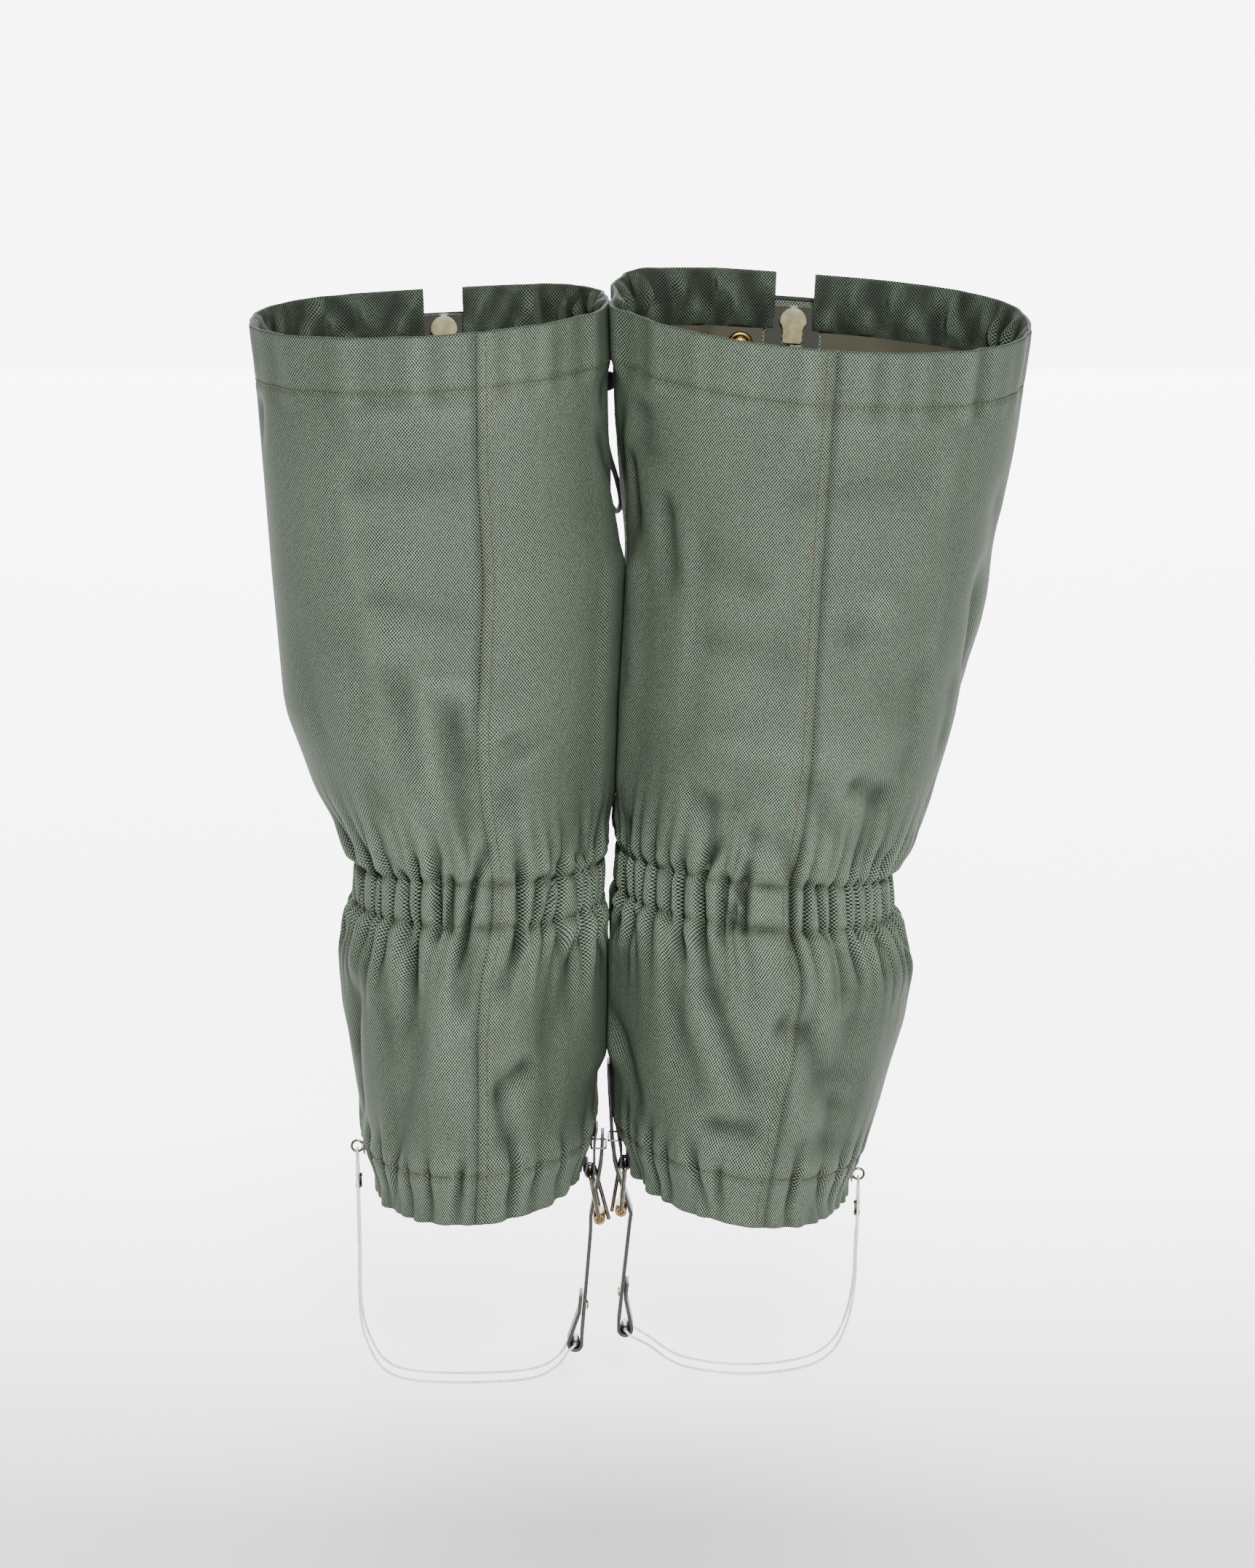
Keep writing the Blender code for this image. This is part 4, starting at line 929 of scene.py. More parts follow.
def rounded(route, per_corner=4, radius=2.5):
    """The route with each of its corners cut to a short arc."""
    done = [route[0]]
    for before, corner, after in zip(route, route[1:], route[2:]):
        to_before = before - corner
        to_after = after - corner
        start = corner + to_before.normalized() * min(radius, to_before.length * 0.45)
        end = corner + to_after.normalized() * min(radius, to_after.length * 0.45)
        for i in range(per_corner + 1):
            t = i / per_corner
            done.append(start.lerp(corner, t).lerp(corner.lerp(end, t), t))
    done.append(route[-1])
    return done


def smooth_line(knots, spacing):
    """Points about one spacing apart on a smooth curve through the knots."""
    ends = [knots[0] * 2 - knots[1], *knots, knots[-1] * 2 - knots[-2]]
    line = [knots[0]]
    for a, b, c, d in zip(ends, ends[1:], ends[2:], ends[3:]):
        steps = max(1, round((c - b).length / spacing))
        for i in range(1, steps + 1):
            t = i / steps
            bend = (2 * a - 5 * b + 4 * c - d) * t * t + (3 * b - a - 3 * c + d) * t**3
            line.append(b + ((c - a) * t + bend) / 2)
    return line


def wire(name, points, radius, cyclic=False):
    """A round cord or wire along a line of points."""
    curve = bpy.data.curves.new(name, "CURVE")
    curve.dimensions = "3D"
    curve.bevel_depth = radius * MM
    curve.bevel_resolution = 5
    curve.use_fill_caps = not cyclic
    line = curve.splines.new("POLY")
    line.points.add(len(points) - 1)
    for knot, point in zip(line.points, points):
        knot.co = (*(Vector(point) * MM), 1.0)
    line.use_cyclic_u = cyclic
    line.use_smooth = True
    return bpy.data.objects.new(name, curve)


def beads(name, spots, half, radius, sides=6):
    """Many small rounded bars in one mesh, such as stitches: a spot is (middle, way along, way out)."""
    profile = ((-1, 0.15), (-0.8, 0.75), (0, 1), (0.8, 0.75), (1, 0.15))
    turns = np.arange(sides) * 2 * math.pi / sides
    points, faces = [], []
    for middle, along, out in spots:
        beside = along.cross(out).normalized()
        first = len(points)
        for shift, size in profile:
            for a in turns:
                ray = out * math.sin(a) + beside * math.cos(a)
                points.append(tuple(middle + along * (shift * half) + ray * (radius * size)))
        for k in range(len(profile) - 1):
            for i in range(sides):
                a, b = first + k * sides + i, first + k * sides + (i + 1) % sides
                faces.append((a, b, b + sides, a + sides))
        faces.append(tuple(range(first + sides - 1, first - 1, -1)))
        last = first + (len(profile) - 1) * sides
        faces.append(tuple(range(last, last + sides)))
    return mesh_of(name, points, faces)


# ---------------------------------------------------------------- the leg's cloth pieces


def leg_path(leg, columns, edge_lift):
    """A panel's cloth as one grid: from inside the hem casing, over the outside, into the top casing."""
    points = leg.points[:, columns] + leg.normals[:, columns] * edge_lift[None, :, None]
    normals = leg.normals[:, columns]
    ups = leg.up_cut
    rng = np.random.default_rng(leg.gaiter.seed + 5)

    def turned_in(rows, depth, fold, near):
        """The fold over the edge, and the layer inside it as far as the casing's line of stitches, and the
        painted shade of both.
        """
        edge, out = points[rows[0]], normals[rows[0]]
        up = points[rows[0]] - points[rows[2]]
        up /= np.linalg.norm(up, axis=1, keepdims=True)
        arc, arc_out = [], []
        for a in np.radians((22, 45, 67, 90, 113, 135, 158)):
            way = out * math.cos(a) + up * math.sin(a)
            arc.append(edge + out * (math.cos(a) - 1) * near / 2 + up * math.sin(a) * near * 0.45)
            arc_out.append(way)
        layer, layer_out = [], []
        # Painted shade: the fold over the edge at 0.6, and the layer inside it darker still, lighter and
        # darker along its wrinkles.
        turned_shade = [np.full(len(columns), 0.6)] * len(arc)
        waves = [(rng.uniform(9, 26), rng.uniform(0, 6.3), rng.uniform(-0.9, 0.9)) for _ in range(7)]
        run = leg.across_cut[columns]
        for row in rows:
            drop = abs(ups[row] - ups[rows[0]])
            share = math.sin(math.pi * min(drop / depth, 1)) ** 0.7
            wrinkle = sum(
                np.sin(run / wide * 6.28 + phase + drop * slant * 0.3) for wide, phase, slant in waves
            )
            turned_shade.append(0.42 + 0.2 * np.clip(wrinkle / 2, -1, 1))
            ease = np.maximum(wrinkle, 0) * math.sin(math.pi * min(drop / depth, 1)) ** 0.6
            gap = near + (fold - near) * share + ease
            layer.append(points[row] - normals[row] * gap[:, None])
            layer_out.append(-normals[row])
        return np.array(arc + layer), np.array(arc_out + layer_out), np.array(turned_shade)

    top_rows = [k for k in range(len(ups) - 1, 0, -1) if leg.heights[k] > TOP - TOP_CASING]
    hem_rows = [k for k in range(len(ups)) if leg.heights[k] < HEM + HEM_CASING]
    top, top_out, top_shade = turned_in(top_rows, TOP_CASING, TOP_FOLD, 1.9)
    hem, hem_out, hem_shade = turned_in(hem_rows, HEM_CASING, HEM_FOLD, 1.7)
    face = np.concatenate([hem[::-1], points, top])
    out = np.concatenate([hem_out[::-1], normals, top_out])
    out /= np.linalg.norm(out, axis=2, keepdims=True)
    steps = np.linalg.norm(np.diff(face, axis=0), axis=2).mean(1)
    v = np.concatenate([[0], np.cumsum(steps)])
    v += ups[0] - v[len(hem)]
    # Painted shade of the turned-in layers and of the outside, which the mesh carries for the fabric's
    # colour.
    shade = smoothed(np.concatenate([hem_shade[::-1], leg.shade[:, columns], top_shade]), 1)
    cloth = np.stack(np.broadcast_arrays(leg.across_cut[columns][None, :], v[:, None], shade), -1)
    return face, out, cloth


def inner_sheet(leg, name, rows, columns, depth, thickness):
    """A sheet that follows the leg's cloth, this far behind it."""
    out = leg.normals[rows, columns]
    inside = leg.points[rows, columns] - out * depth
    cloth = np.stack(np.broadcast_arrays(leg.across_cut[None, columns], leg.up_cut[rows, None]), -1)
    return thick_sheet(f"{leg.gaiter.name}_{name}", inside, out, cloth, thickness)


def leg_pieces(leg):
    gaiter = leg.gaiter
    name = gaiter.name
    count = leg.points.shape[1]
    reach = leg.across_cut[-1] - leg.across_cut[0]
    for half, first, last in (("outer", leg.seam, count), ("inner", 0, leg.seam + 2)):
        columns = np.arange(first, last)
        beside = np.abs(leg.across_cut[columns] - leg.across_cut[leg.seam])
        lap = 0.75 * eased(1 - beside / 10) * (half == "inner")
        face, out, cloth = leg_path(leg, columns, lap)
        piece = thick_sheet(f"{name}_{half}_cloth", face, out, cloth, CLOTH)
        dressed(piece, "fabric", "root", f"{name}_{half}_panel")

    low, high = (np.argmin(np.abs(leg.heights - z)) for z in (258, 484))
    rows = slice(low, high, 2)
    columns = slice(EDGE_INSET, -EDGE_INSET, 2)
    lining = inner_sheet(leg, "lining_cloth", rows, columns, 1.7, 0.35)
    dressed(lining, "lining", "root", f"{name}_lining")

    for node, low, high, depth in (("ankle_elastic", 236, 254, 1.2), ("hem_elastic", 107, 122, 1.7)):
        low, high = (np.argmin(np.abs(leg.heights - z)) for z in (low, high))
        columns = slice(EDGE_INSET, -EDGE_INSET)
        band = inner_sheet(leg, f"{node}_band", slice(low, high), columns, depth, 0.8)
        dressed(band, "elastic", "root", f"{name}_{node}")

    sewn = []
    cuts = np.arange(3, reach - 3, STITCH) + leg.across_cut[0]
    for height in (CASING_LINE, BAND_TOP, BAND_FOOT, HEM_LINE):
        sewn += stitched(leg, [(height, cut, 0.1) for cut in cuts])
    for beside in (3.5, 17):
        for cut in (leg.across_cut[0] + beside, leg.across_cut[-1] - beside):
            sewn += stitched(leg, [(z, cut, 0.1) for z in np.arange(TOP - TOP_CASING, TOP - 1, STITCH)])
    dressed(beads(f"{name}_stitches", sewn, STITCH_HALF, 0.32), "thread", "root")
    seam = stitched(leg, [(z, -3.2, 0.55) for z in np.arange(HEM + 2, TOP - 1, STITCH)])
    dressed(beads(f"{name}_seam_stitches", seam, STITCH_HALF, 0.42), "thread", "root")


def stitched(leg, spots):
    """Stitches on the leg's cloth: where each is, the way it runs and the way out of the cloth."""
    found = [leg.spot(*spot) for spot in spots]
    done = []
    for (here, out), (after, _) in zip(found, found[1:]):
        along = (after - here).normalized()
        done.append(((here + after) / 2, along, out))
    return done


# ---------------------------------------------------------------- places on the front

def front_spot(gaiter, height, beside, lift):
    """A point on the smooth front, a distance beside the zip's line."""
    outer, inner = sizes_at(gaiter, np.array([height]))[:2, 0]
    side = math.copysign(1, beside)
    share = min(2 * abs(beside) / (outer - inner), 1)
    angle = side * (math.pi - math.asin(share ** (FRONT_SQUARENESS / 2)))
    return Vector(wall(gaiter, np.array([float(height)]), np.array([angle]), lift)[0])


def zip_frame(gaiter):
    """The zip line's foot, the way up it, the way to the gaiter's outer side, and the way out."""
    foot = Vector((gaiter.sign * gaiter.zip_foot[0], *gaiter.zip_foot[1:]))
    head = Vector((gaiter.sign * gaiter.zip_head[0], *gaiter.zip_head[1:]))
    up = (head - foot).normalized()
    outward = Vector((gaiter.sign, 0, 0))
    beside = (outward - up * outward.dot(up)).normalized()
    return foot, up, beside, up.cross(beside) * gaiter.sign


def zip_length(gaiter):
    return (Vector(gaiter.zip_head) - Vector(gaiter.zip_foot)).length


def zip_point(gaiter, along, beside, lift):
    foot, up, side, out = zip_frame(gaiter)
    return foot + up * along + side * beside + out * lift


def on_zip(gaiter, outline, lifts, name, bevel):
    """A plate that lies on the zip: the outline is (beside, along)."""
    rings = [[zip_point(gaiter, along, beside, lift) for beside, along in outline] for lift in lifts]
    return solid(name, rings, bevel=bevel)


TOOTH_PITCH = 3.0
TOOTH = ((0.5, -0.7), (2.3, -0.7), (2.7, -1.0), (5, -0.95), (5, 0.95), (2.7, 1.0), (2.3, 0.7), (0.5, 0.7),
         (-0.9, 0.95), (-0.9, -0.95))  # beside and along the zip


def zip_pieces(gaiter):
    name = gaiter.name
    length = zip_length(gaiter)
    for node, side in (("zip_tape_outer", 1), ("zip_tape_inner", -1)):
        rows = np.linspace(2, length, 120)
        strip = np.linspace(1.4, 12.5, 8)
        grid = np.array([[zip_point(gaiter, z, side * beside, -1.75) for beside in strip] for z in rows])
        way = np.broadcast_to(np.array(zip_frame(gaiter)[3]), grid.shape)
        cloth = np.stack(np.broadcast_arrays(strip[None, :], rows[:, None]), -1)
        tape = thick_sheet(f"{name}_{node}_cloth", grid, way, cloth, 0.5)
        dressed(tape, "zip", "root", f"{name}_{node}")
        tooth = [(side * beside, along) for beside, along in TOOTH]
        base = on_zip(gaiter, tooth, (-3.8, -0.3), "tooth", 0.3).data
        start = 3.5 + (TOOTH_PITCH / 2 if side > 0 else 0)
        up = zip_frame(gaiter)[1] * MM
        joined = bmesh.new()
        for k in range(int((length - start - 3) / TOOTH_PITCH)):
            first = len(joined.verts)
            joined.from_mesh(base)
            joined.verts.ensure_lookup_table()
            bmesh.ops.translate(joined, verts=joined.verts[first:], vec=up * (TOOTH_PITCH * k + start))
        mesh = bpy.data.meshes.new(f"{name}_{node}_teeth")
        joined.to_mesh(mesh)
        joined.free()
        mesh.shade_smooth()
        mesh.set_sharp_from_angle(angle=math.radians(40))
        bpy.data.meshes.remove(base)
        dressed(bpy.data.objects.new(mesh.name, mesh), "teeth", "root")

    block = [(-6.8, -4.7), (6.8, -4.7), (6.8, 1.4), (-6.8, 1.4)]
    ends = [[zip_point(gaiter, along, b, lift) for b, lift in block] for along in (-4.7, 1.4)]
    stop = solid(f"{name}_stop_block", ends, bevel=0.7)
    dressed(stop, "teeth", "root", f"{name}_zip_stop")

    top = length
    dome = [(beside, along + top - 6.2) for along, beside in arc((0, 0), 6.2, -80, 80, 10)]
    shoulder = [(6.2, top - 7.2), (5.2, top - 8.6), (4.5, top - 10.4), (4.45, top - 16), (3.9, top - 16.8)]
    outline = dome + shoulder + [(-b, along) for b, along in shoulder[::-1]]
    back = on_zip(gaiter, outline, (-5.6, -4.35), f"{name}_slider_back_plate", 0.45)
    slider_body = f"{name}_zip_slider"
    dressed(back, "slider", slider_body, f"{name}_zip_slider")
    face = on_zip(gaiter, outline, (0.3, 1.6), f"{name}_slider_face_plate", 0.4)
    dressed(face, "slider", slider_body)
    web = [(-0.7, top - 2.4), (0.7, top - 2.4), (1.2, top - 0.6), (-1.2, top - 0.6)]
    dressed(on_zip(gaiter, web, (-4.6, 0.5), f"{name}_slider_post", 0.2), "slider", slider_body)
    hinge = top - 5
    arch = [Vector((0, hinge + a, lift)) for a, lift in ((3.3, 1.2), (3.1, 4.2), (-3.1, 4.2), (-3.3, 1.2))]
    arch = rounded(arch, 6, 1.6)
    under = [Vector((0, hinge + (p.y - hinge) * 0.7, 1.2 + (p.z - 1.2) * 0.8)) for p in arch[::-1]]
    rings = [[zip_point(gaiter, p.y, b, p.z) for p in arch + under] for b in (-1.1, 1.1)]
    dressed(solid(f"{name}_slider_bail", rings, bevel=0.2), "slider", slider_body)
    dressed(pull_plate(gaiter, hinge), "slider", f"{name}_zip_pull", f"{name}_zip_pull")


def pull_plate(gaiter, hinge):
    """A plate with a slot in it, from an outer and an inner loop of the same count of points."""
    half = [(3.3, 0.8), (3.4, -8), (3.0, -20), (2.0, -23.6)]
    outline = half + [(-beside, along) for beside, along in half[::-1]]
    route = rounded([Vector((*spot, 0)) for spot in [*outline, outline[0]]], 2, 1.0)[:-1]
    centre = Vector((0, -3.5, 0))
    loops = []
    for lift in (3.3, 2.1):
        ring = [zip_point(gaiter, hinge + p.y, p.x, lift) for p in route]
        slot = []
        for p in route:
            way = p - centre
            share = min(1.5 / max(abs(way.x), 1e-6), 2.1 / max(abs(way.y), 1e-6))
            spot = centre + way * min(share, 0.9)
            slot.append(zip_point(gaiter, hinge + spot.y, spot.x, lift))
        loops.append((ring, slot))
    (top_ring, top_slot), (low_ring, low_slot) = loops
    rings = [top_slot, top_ring, low_ring, low_slot]
    return solid(f"{gaiter.name}_pull_plate", rings, bevel=0.25, closed=True)


def flap_pieces(gaiter):
    name = gaiter.name
    body = f"{name}_storm_flap"
    _, up, _, out = zip_frame(gaiter)
    hinge = zip_point(gaiter, 0, 22.5, 0.75)
    section = [(15, 3.6), (9, 6.2), (0, 6.4), (-9, 6.2), (-17, 3.1), (-26, 3.1), (-34, 3.1)]
    levels = np.linspace(120, 494, 130)
    grid = []
    rng = np.random.default_rng(gaiter.seed + 9)
    waves = [(rng.uniform(40, 130), rng.uniform(0, 6.3)) for _ in range(4)]
    for level in levels:
        z = front_spot(gaiter, level, 22.5, 0).z
        edge = hinge + up * ((z - hinge.z) / up.z)
        puff = 0.12 * sum(math.sin(level / wide * 6.28 + phase) for wide, phase in waves)
        knots = [edge] + [front_spot(gaiter, level, beside, lift + puff + 0.5) for beside, lift in section]
        grid.append([tuple(p) for p in smooth_line(knots, 2.2)])
    narrow = min(len(row) for row in grid)
    grid = np.array([row[:narrow] for row in grid])
    inside = np.array(hinge - out * 500)
    ways = normals_of(grid, inside)
    grid = grid + ways * 0.5
    run = np.linspace(0, 62, narrow)
    cloth = np.stack(np.broadcast_arrays(run[None, :], levels[:, None]), -1)
    piece = thick_sheet(f"{name}_flap_cloth", grid, ways, cloth, 0.9)
    dressed(piece, "fabric", body, f"{name}_storm_flap")
    edge_lines = []
    for column in (narrow - 3, 3):
        path = [Vector(p) for p in grid[:, column] + ways[:, column] * 0.1]
        for a, b, w in zip(path, path[1:], ways[:, column]):
            edge_lines.append(((a + b) / 2, (b - a).normalized(), Vector(w)))
    dressed(beads(f"{name}_flap_stitches", edge_lines, 1.05, 0.22), "green_thread", body)
    top_edge = [Vector(p) - Vector(w) * 0.45 for p, w in zip(grid[-1], ways[-1])]
    dressed(wire(f"{name}_flap_binding", top_edge, 1.1), "dark_cloth", body)

    for node, lifts, rides in (("loop_tape", (0.3, 1.3), "root"), ("hook_tape", (1.6, 2.8), body)):
        rows = np.linspace(128, 462, 90)
        strip = np.linspace(-18, -32, 6)
        grid = np.array([[front_spot(gaiter, z, b, lifts[1]) for b in strip] for z in rows])
        ways = normals_of(grid, inside)
        cloth = np.stack(np.broadcast_arrays(strip[None, :], rows[:, None]), -1)
        tape = thick_sheet(f"{name}_{node}_pile", grid, ways, cloth, lifts[1] - lifts[0])
        dressed(tape, "touch_tape", rides, f"{name}_{node}")

    place = front_spot(gaiter, 474, -24, 0)
    beside = (front_spot(gaiter, 474, -26, 0) - front_spot(gaiter, 474, -22, 0)).normalized()
    rise = (front_spot(gaiter, 478, -24, 0) - front_spot(gaiter, 470, -24, 0)).normalized()
    normal = beside.cross(rise).normalized()
    if normal.dot(out) < 0:
        normal = -normal
    stud = [(0.01, -4.4), (1.5, -4.4), (2.0, -4.15), (3.3, -4.1), (3.7, -4.6), (4.6, -4.9), (5.5, -4.6),
            (6, -3.9), (5.9, -3.3), (2, -3.0), (2, 1.2), (0.01, 1.2)]
    dressed(turned(f"{name}_stud", place, normal, stud), "brass", "root", f"{name}_snap_stud")
    cap = [(0.01, 5.9), (3, 5.9), (4.8, 5.75), (6.1, 5.1), (6.25, 4.6), (6.0, 4.4), (2, 4.35), (2, 2.4),
           (0.01, 2.4)]
    dressed(turned(f"{name}_cap", place, normal, cap), "brass", body, f"{name}_snap_cap")


# ---------------------------------------------------------------- the drawcord and its lock

def faceted(gaiter, height, place, lift=0.0):
    """A point on the CAD's facets: place counts columns from the back seam, negative on the inner side."""
    side = math.copysign(1, place)
    low = int(abs(place))
    outer, inner, _, _, _, seam = sizes_at(gaiter, np.array([float(height)]))[:, 0]
    ends = []
    for column in (low, low + 1):
        if column < len(BACK_COLUMNS):
            round_back = BACK_COLUMNS[column]
            angle = math.radians(side * round_back + seam * (1 - round_back / BACK_COLUMNS[-1]))
        else:
            beside = FRONT_COLUMNS[column - len(BACK_COLUMNS)]
            share = 2 * beside / (outer - inner)
            angle = side * (math.pi - math.asin(share ** (FRONT_SQUARENESS / 2)))
        ends.append(Vector(wall(gaiter, np.array([float(height)]), np.array([angle]), lift)[0]))
    return ends[0].lerp(ends[1], abs(place) - low)


def cord_frame(gaiter):
    """Where the cord comes out, the way towards the back seam, the way down and the way out."""
    place = -gaiter.lock_place
    point = faceted(gaiter, 494, place)
    back = (faceted(gaiter, 494, place + 0.05) - faceted(gaiter, 494, place - 0.05)).normalized()
    down = (faceted(gaiter, 489, place) - faceted(gaiter, 499, place)).normalized()
    out = back.cross(down).normalized()
    if out.dot(faceted(gaiter, 494, place, 1.0) - point) < 0:
        out = -out
    return point, back, down, out


def cord_pieces(gaiter, leg):
    name = gaiter.name
    base, back, down, out = cord_frame(gaiter)

    def local(along, lift, drop):
        return base + back * along + out * lift + down * drop

    half = 5.5
    lifts = gaiter.loop_lifts
    side = [(half, -1.9, 0), (half, 1.5, 0), (half, 4.6, 1.6), (half - 0.5, 6, 4.5), (3.6, 6, 9),
            (2.4, 6, 14), (2.4, 6, 30), (2.4, 6, 48), (2.6, lifts[0], 56), (3.8, lifts[1], 66),
            (5.4, lifts[2], 78), (5.2, lifts[3], 88)]
    route = side + [(0, lifts[4], 93)] + [(-along, lift, drop) for along, lift, drop in side[::-1]]
    line = smooth_line([local(*spot) for spot in route], 1.5)
    loop = dressed(wire(f"{name}_cord_loop", line, CORD_RADIUS), "cord", "root", f"{name}_drawcord_loop")
    exits = [np.argmin(np.linalg.norm(leg.points[-9, :] - np.array(local(along, 0, 0)), axis=1))
             for along in (half, -half)]
    start = leg.across_cut[-1] - 12
    end = leg.across_cut[min(exits, key=lambda k: abs(leg.across_cut[k]))]
    hidden = [leg.spot(494, cut, -2.75)[0] for cut in np.linspace(start, end, 160)]
    dressed(wire(f"{name}_hidden_cord", hidden, CORD_RADIUS), "cord", "root", f"{name}_drawcord")
    for along, place in ((half, "back"), (-half, "front")):
        ring = ring_about(local(along, 0.6, 0), out, 2.0, 24)
        dressed(wire(f"{name}_cord_hole_{place}", ring, 0.55, cyclic=True), "green_thread", "root")

    middle = local(0, 6, 30)
    push = -back
    shell = [(0.01, -7.5), (3.4, -7.5), (4.3, -7.1), (4.7, -6.3), (4.7, -3.4), (4.45, -3.1), (4.45, -2.7),
             (4.7, -2.4), (4.7, 4.9), (4.5, 5.6), (4.1, 6), (3.4, 6), (3.3, 5.7), (3.3, -6), (0.01, -6)]
    lock_body = f"{name}_cord_lock"
    dressed(turned(f"{name}_lock_shell", middle, push, shell), "lock", lock_body, f"{name}_cord_lock_body")
    for place, along, sense in (("bu", 2.4, -1), ("bd", 2.4, 1), ("fu", -2.4, -1), ("fd", -2.4, 1)):
        rim = ring_about(middle + back * along + down * sense * 4.35, down, 1.9, 20)
        dressed(wire(f"{name}_lock_rim_{place}", rim, 0.35, cyclic=True), "lock", lock_body)
    button = [(0.01, -2.8), (2.9, -2.8), (2.9, 9.2), (3.8, 9.4), (3.85, 10.6), (3.5, 11.5), (2.6, 12),
              (0.01, 12.1)]
    dressed(turned(f"{name}_lock_button", middle, push, button), "lock", f"{name}_cord_lock_button",
            f"{name}_cord_lock_button")


# ---------------------------------------------------------------- hook, buckle, strap and cable

def ribbon_piece(name, path, thickness, gaiter, half, bevel):
    """A leather strip seen edge on: the path is (across, z), and half is half its width along Y."""
    outline = band_about([Vector((a, z, 0)) for a, z in path], thickness)
    rings = [[Vector((gaiter.sign * p.x, gaiter.strap_y + y, p.y)) for p in outline] for y in (-half, half)]
    return solid(name, rings, bevel=bevel, sharp=50)


def band_about(line, thickness):
    """The outline of a band of this thickness along a line in the XY plane."""
    sides = ([], [])
    for i, point in enumerate(line):
        along = (line[min(i + 1, len(line) - 1)] - line[max(i - 1, 0)]).normalized()
        for side, sense in zip(sides, (0.5, -0.5)):
            side.append(point + Vector((-along.y, along.x, 0)) * thickness * sense)
    return sides[0] + sides[1][::-1]


def arc(centre, radius, first, last, count):
    """Points round a centre, in degrees from the outward direction towards up."""
    turns = [math.radians(first + (last - first) * i / count) for i in range(count + 1)]
    return [(centre[0] + radius * math.cos(a), centre[1] + radius * math.sin(a)) for a in turns]


def flat_smooth(path, spacing):
    return [(p.x, p.y) for p in smooth_line([Vector((a, z, 0)) for a, z in path], spacing)]


def hook_piece(gaiter):
    """The lace hook, a bent strip in the plane of Y and Z at the zip's foot."""
    x, y, z = gaiter.zip_foot
    path = [(2.85, 8), (2.85, -13.6), (-3.3, -13.6), (-3.3, -8)]
    outline = band_about(rounded([Vector((*spot, 0)) for spot in path], 6, 1.8), 1.2)
    rings = [[Vector((gaiter.sign * x + wide, y + p.x, z + p.y)) for p in outline] for wide in (-5, 5)]
    dressed(solid(f"{gaiter.name}_hook", rings, bevel=0.3), "steel", "root", f"{gaiter.name}_lace_hook")


def buckle_pieces(gaiter):
    name, sign = gaiter.name, gaiter.sign

    def at(spot, y=0.0):
        return Vector((sign * spot[0], gaiter.strap_y + y, spot[1]))

    pivot, roller = gaiter.pivot, gaiter.roller
    corners = [at(pivot, -10.5), at(roller, -10.5), at(roller, 10.5), at(pivot, 10.5)]
    start = corners[3].lerp(corners[0], 0.5)
    frame_wire = wire(f"{name}_frame_wire", rounded([start, *corners, start], 8)[:-1], 1.0, cyclic=True)
    dressed(frame_wire, "steel", "root", f"{name}_buckle_frame")
    barrel = [(1.4, -8.3), (2.3, -8.3), (2.75, -7.9), (2.75, 7.9), (2.3, 8.3), (1.4, 8.3)]
    rolling = turned(f"{name}_roller_barrel", at(roller), Vector((0, 1, 0)), barrel, closed=True)
    dressed(rolling, "brass", f"{name}_buckle_roller", f"{name}_buckle_roller")
    tip = (roller[0] - 4.4, roller[1] - 2)
    turn = 180 - math.degrees(math.atan2(pivot[0] - tip[0], pivot[1] - tip[1]))
    hooked = [at(spot) for spot in [*arc(pivot, 2.35, turn - 290, turn, 24), tip]]
    tongue = wire(f"{name}_tongue_wire", hooked, 0.95)
    dressed(tongue, "steel", f"{name}_buckle_tongue", f"{name}_buckle_tongue")

    path = flat_smooth(gaiter.tab, 2) + arc(pivot, 2, 180, 360, 14) + [(pivot[0] + 1.2, pivot[1] + 4)]
    tab = ribbon_piece(f"{name}_tab_leather", path, 1.2, gaiter, 8, 0.3)
    dressed(tab, "leather", "root", f"{name}_buckle_tab")

    hub = gaiter.tube
    behind = (roller[0] + 4.05, roller[1])
    bend = 3.05
    run_top = Vector((behind[0], behind[1] - 6))
    run_foot = Vector((hub[0] - bend, hub[1] + 3))
    back_run = [run_foot.lerp(run_top, share) + Vector((2.0, 0)) for share in (0.24, 0.4)]
    over = flat_smooth([*gaiter.tail[::-1], behind, tuple(run_top), tuple(run_foot)], 2.5)
    path = over + arc(hub, bend, 180, 380, 16) + [tuple(spot) for spot in back_run]
    strap = ribbon_piece(f"{name}_strap_leather", path, 1.6, gaiter, 7.5, 0.4)
    dressed(strap, "leather", "root", f"{name}_strap")
    fixed = run_foot.lerp(run_top, 0.28)
    rivet = [(0.01, -1.3), (1.6, -1.25), (2.4, -0.7), (2.4, -0.3), (0.01, -0.3)]
    across = Vector((sign, 0, 0))
    dressed(turned(f"{name}_strap_rivet", at((fixed.x - 0.7, fixed.y)), across, rivet), "brass", "root")

    near = gaiter.tail[2][0] - 1.65
    far = gaiter.tab[2][0] + 1.45
    corners = [(near, 0), (near, -9.1), (far, -9.1), (far, 9.1), (near, 9.1), (near, 0)]
    loop = rounded([at((a, 122), y) for a, y in corners], 6, 0.9)[:-1]
    dressed(wire(f"{name}_keeper_wire", loop, 0.5, cyclic=True), "steel", "root", f"{name}_strap_keeper")


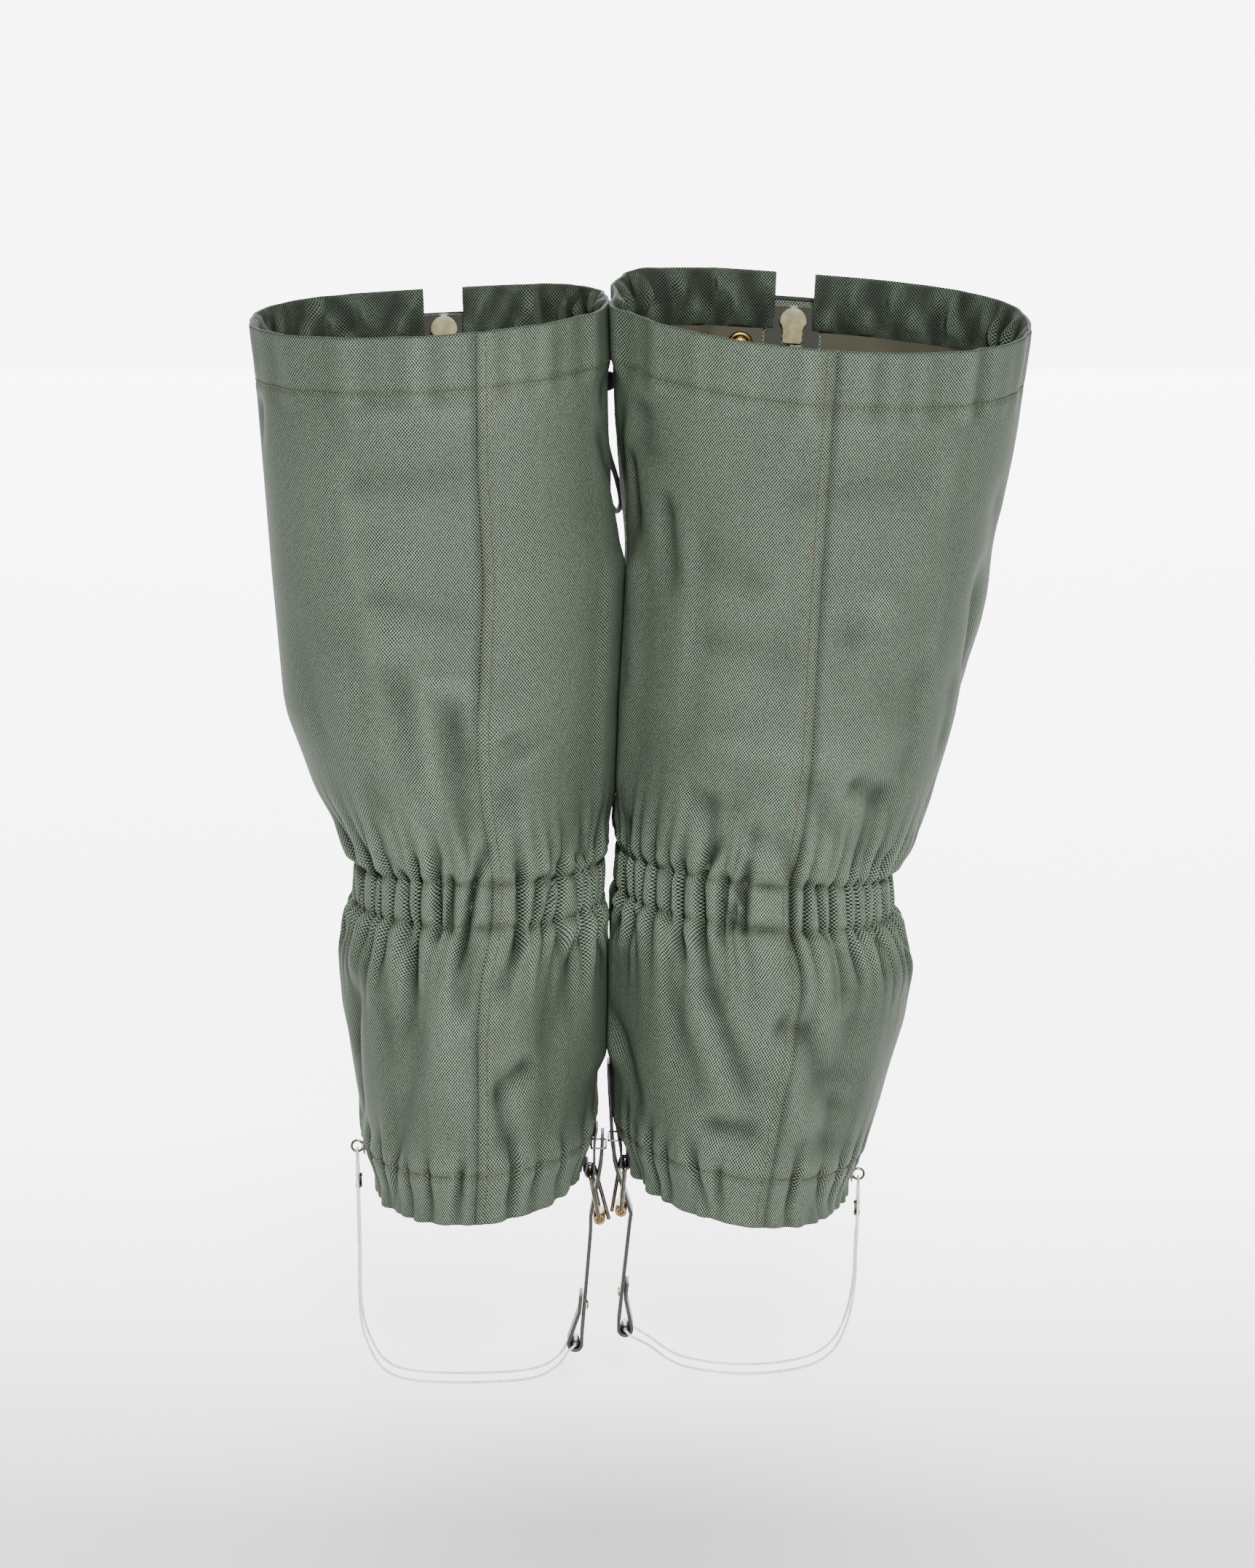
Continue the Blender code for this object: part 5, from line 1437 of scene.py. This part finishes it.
def cable_pieces(gaiter):
    name, sign, middle = gaiter.name, gaiter.sign, gaiter.strap_y

    def at(spot, y):
        return Vector((sign * spot[0], middle + y, spot[1]))

    hub, eye = gaiter.tube, gaiter.eye
    lengthwise = Vector((0, 1, 0))
    sleeve = [(0.95, -6.3), (1.4, -6.5), (1.9, -6.2), (1.9, 6.2), (1.4, 6.5), (0.95, 6.3)]
    tube = turned(f"{name}_tube", at(hub, 0), lengthwise, sleeve, closed=True)
    dressed(tube, "steel", "root", f"{name}_cable_tube")
    above, below = (
        [at((eye[0] - 0.3, eye[1] - 18 + sense * drop), 7.4) for drop in (0.5, 5.5)] for sense in (1, -1)
    )
    strand = [at(spot, 8) for spot in gaiter.cable]
    turn_in = [at((hub[0] + 3.4, hub[1] - 3), 9.6), at((hub[0] + 0.9, hub[1] - 0.6), 9.4), at(hub, 6.5)]
    top_side = [at((eye[0], eye[1] + drop), y) for y, drop in ((1.6, -1.4), (3.6, -3.4), (6, -7.5))]

    def mirrored(points):
        return [Vector((p.x, 2 * middle - p.y, p.z)) for p in points[::-1]]

    back_top = mirrored([below[0].lerp(above[0], 0.5)])
    over = mirrored(top_side) + [at((eye[0], eye[1] - 0.95), 0)] + top_side
    knots = below + strand + turn_in + mirrored(strand + turn_in) + back_top + over + above[::-1]
    line = smooth_line(knots, 2.0)
    rope = dressed(wire(f"{name}_cable_rope", line, CABLE_RADIUS), "cable", "root", f"{name}_cable")
    crimp = [(0.95, -3.5), (1.4, -3.5), (1.6, -3.2), (1.6, -1.8), (1.4, -1.4)]
    crimp += [(radius, -along) for radius, along in crimp[::-1]]
    centre = below[0].lerp(above[0], 0.5)
    ferrule = turned(f"{name}_ferrule", centre, Vector((0, 0, 1)), crimp, closed=True)
    dressed(ferrule, "steel", "root", f"{name}_cable_ferrule")
    plate_at = eye[0] - 3.6
    outward = Vector((sign, 0, 0))
    steps = [(0.01, 0), (4, 0), (4, 0.5), (3.4, 0.9), (1.6, 1.3), (0.01, 1.4)]
    profile = [(radius, plate_at + along) for radius, along in steps]
    plate = turned(f"{name}_eye_plate", Vector((0, middle, eye[1])), outward, profile)
    dressed(plate, "steel", "root", f"{name}_cable_eye")
    ring = [at((eye[0] + 2.6 * math.cos(a), eye[1] + 2.6 * math.sin(a)), 0)
            for a in np.linspace(0, 2 * math.pi, 33)[:-1]]
    dressed(wire(f"{name}_eye_ring", ring, 0.6, cyclic=True), "steel", "root")


# ---------------------------------------------------------------- everything

for gaiter in (LEFT, RIGHT):
    leg = make_leg(gaiter)
    leg_pieces(leg)
    zip_pieces(gaiter)
    flap_pieces(gaiter)
    cord_pieces(gaiter, leg)
    hook_piece(gaiter)
    buckle_pieces(gaiter)
    cable_pieces(gaiter)


# ---------------------------------------------------------------- floor, light and camera

def make_floor():
    finish = Finish("pale_floor", Roughness=0.6)
    tone = finish.ramp(finish.noise(1.5, 2), (0.3, (0.86, 0.86, 0.865, 1)), (0.7, (0.9, 0.9, 0.905, 1)))
    finish.colour(tone)
    # Painted light: the floor also glows, as if brightly lit, from nothing about 0.2 m in front of the
    # gaiters to full strength about half a metre behind them.
    parts = finish.tree.nodes.new("ShaderNodeSeparateXYZ")
    finish.feed(parts.inputs[0], finish.spot())
    ahead = finish.span(parts.outputs[1], 0.3, 1.5)
    glow = finish.ramp(ahead, (0.05, (0, 0, 0, 1)), (0.95, (1, 1, 1, 1)))
    finish.feed(finish.shader.inputs["Emission Color"], glow)
    finish.shader.inputs["Emission Strength"].default_value = 4.5
    mesh = bpy.data.meshes.new("floor")
    mesh.from_pydata([(-6, -5, 0), (6, -5, 0), (6, 9, 0), (-6, 9, 0)], [], [(0, 1, 2, 3)])
    mesh.materials.append(finish.material)
    floor = bpy.data.objects.new("floor", mesh)
    bpy.context.scene.collection.objects.link(floor)


def area_light(name, place, aim, size, power):
    light = bpy.data.lights.new(name, "AREA")
    light.shape = "RECTANGLE"
    light.size, light.size_y = size
    light.energy = power
    made = bpy.data.objects.new(name, light)
    made.location = place
    made.rotation_euler = (Vector(aim) - Vector(place)).to_track_quat("-Z", "Y").to_euler()
    bpy.context.scene.collection.objects.link(made)


def make_backdrop():
    glow = Finish("backdrop_glow", Roughness=0.8)
    tone = glow.ramp(glow.noise(0.7, 2), (0.3, (0.92, 0.92, 0.935, 1)), (0.7, (0.95, 0.95, 0.965, 1)))
    glow.colour((0, 0, 0, 1))
    glow.feed(glow.shader.inputs["Emission Color"], tone)
    glow.shader.inputs["Emission Strength"].default_value = 8
    mesh = bpy.data.meshes.new("backdrop")
    mesh.from_pydata([(-2.4, 4, 0), (2.4, 4, 0), (2.4, 4, 3.2), (-2.4, 4, 3.2)], [], [(0, 1, 2, 3)])
    mesh.materials.append(glow.material)
    backdrop = bpy.data.objects.new("backdrop", mesh)
    bpy.context.scene.collection.objects.link(backdrop)


make_floor()
make_backdrop()
world = bpy.data.worlds.new("studio")
world.use_nodes = True
world.node_tree.nodes["Background"].inputs[0].default_value = (1.0, 1.0, 1.01, 1)
world.node_tree.nodes["Background"].inputs[1].default_value = 0.1
bpy.context.scene.world = world
area_light("key", (0.3, -3.0, 1.75), (0, 0, 0.3), (0.7, 0.7), 230)
area_light("back_floor", (0, 2.6, 2.6), (0, 2.2, 0), (3.5, 1.5), 130)

camera = bpy.data.objects.new("camera", bpy.data.cameras.new("camera"))
camera.data.lens = 150
camera.data.sensor_width = 36
target = Vector((0.0086, 0, 0.290))
tilt = math.radians(10.5)
camera.location = target + Vector((0, -math.cos(tilt), math.sin(tilt))) * 3.0
camera.rotation_euler = (target - camera.location).to_track_quat("-Z", "Y").to_euler()
bpy.context.scene.collection.objects.link(camera)
bpy.context.scene.camera = camera
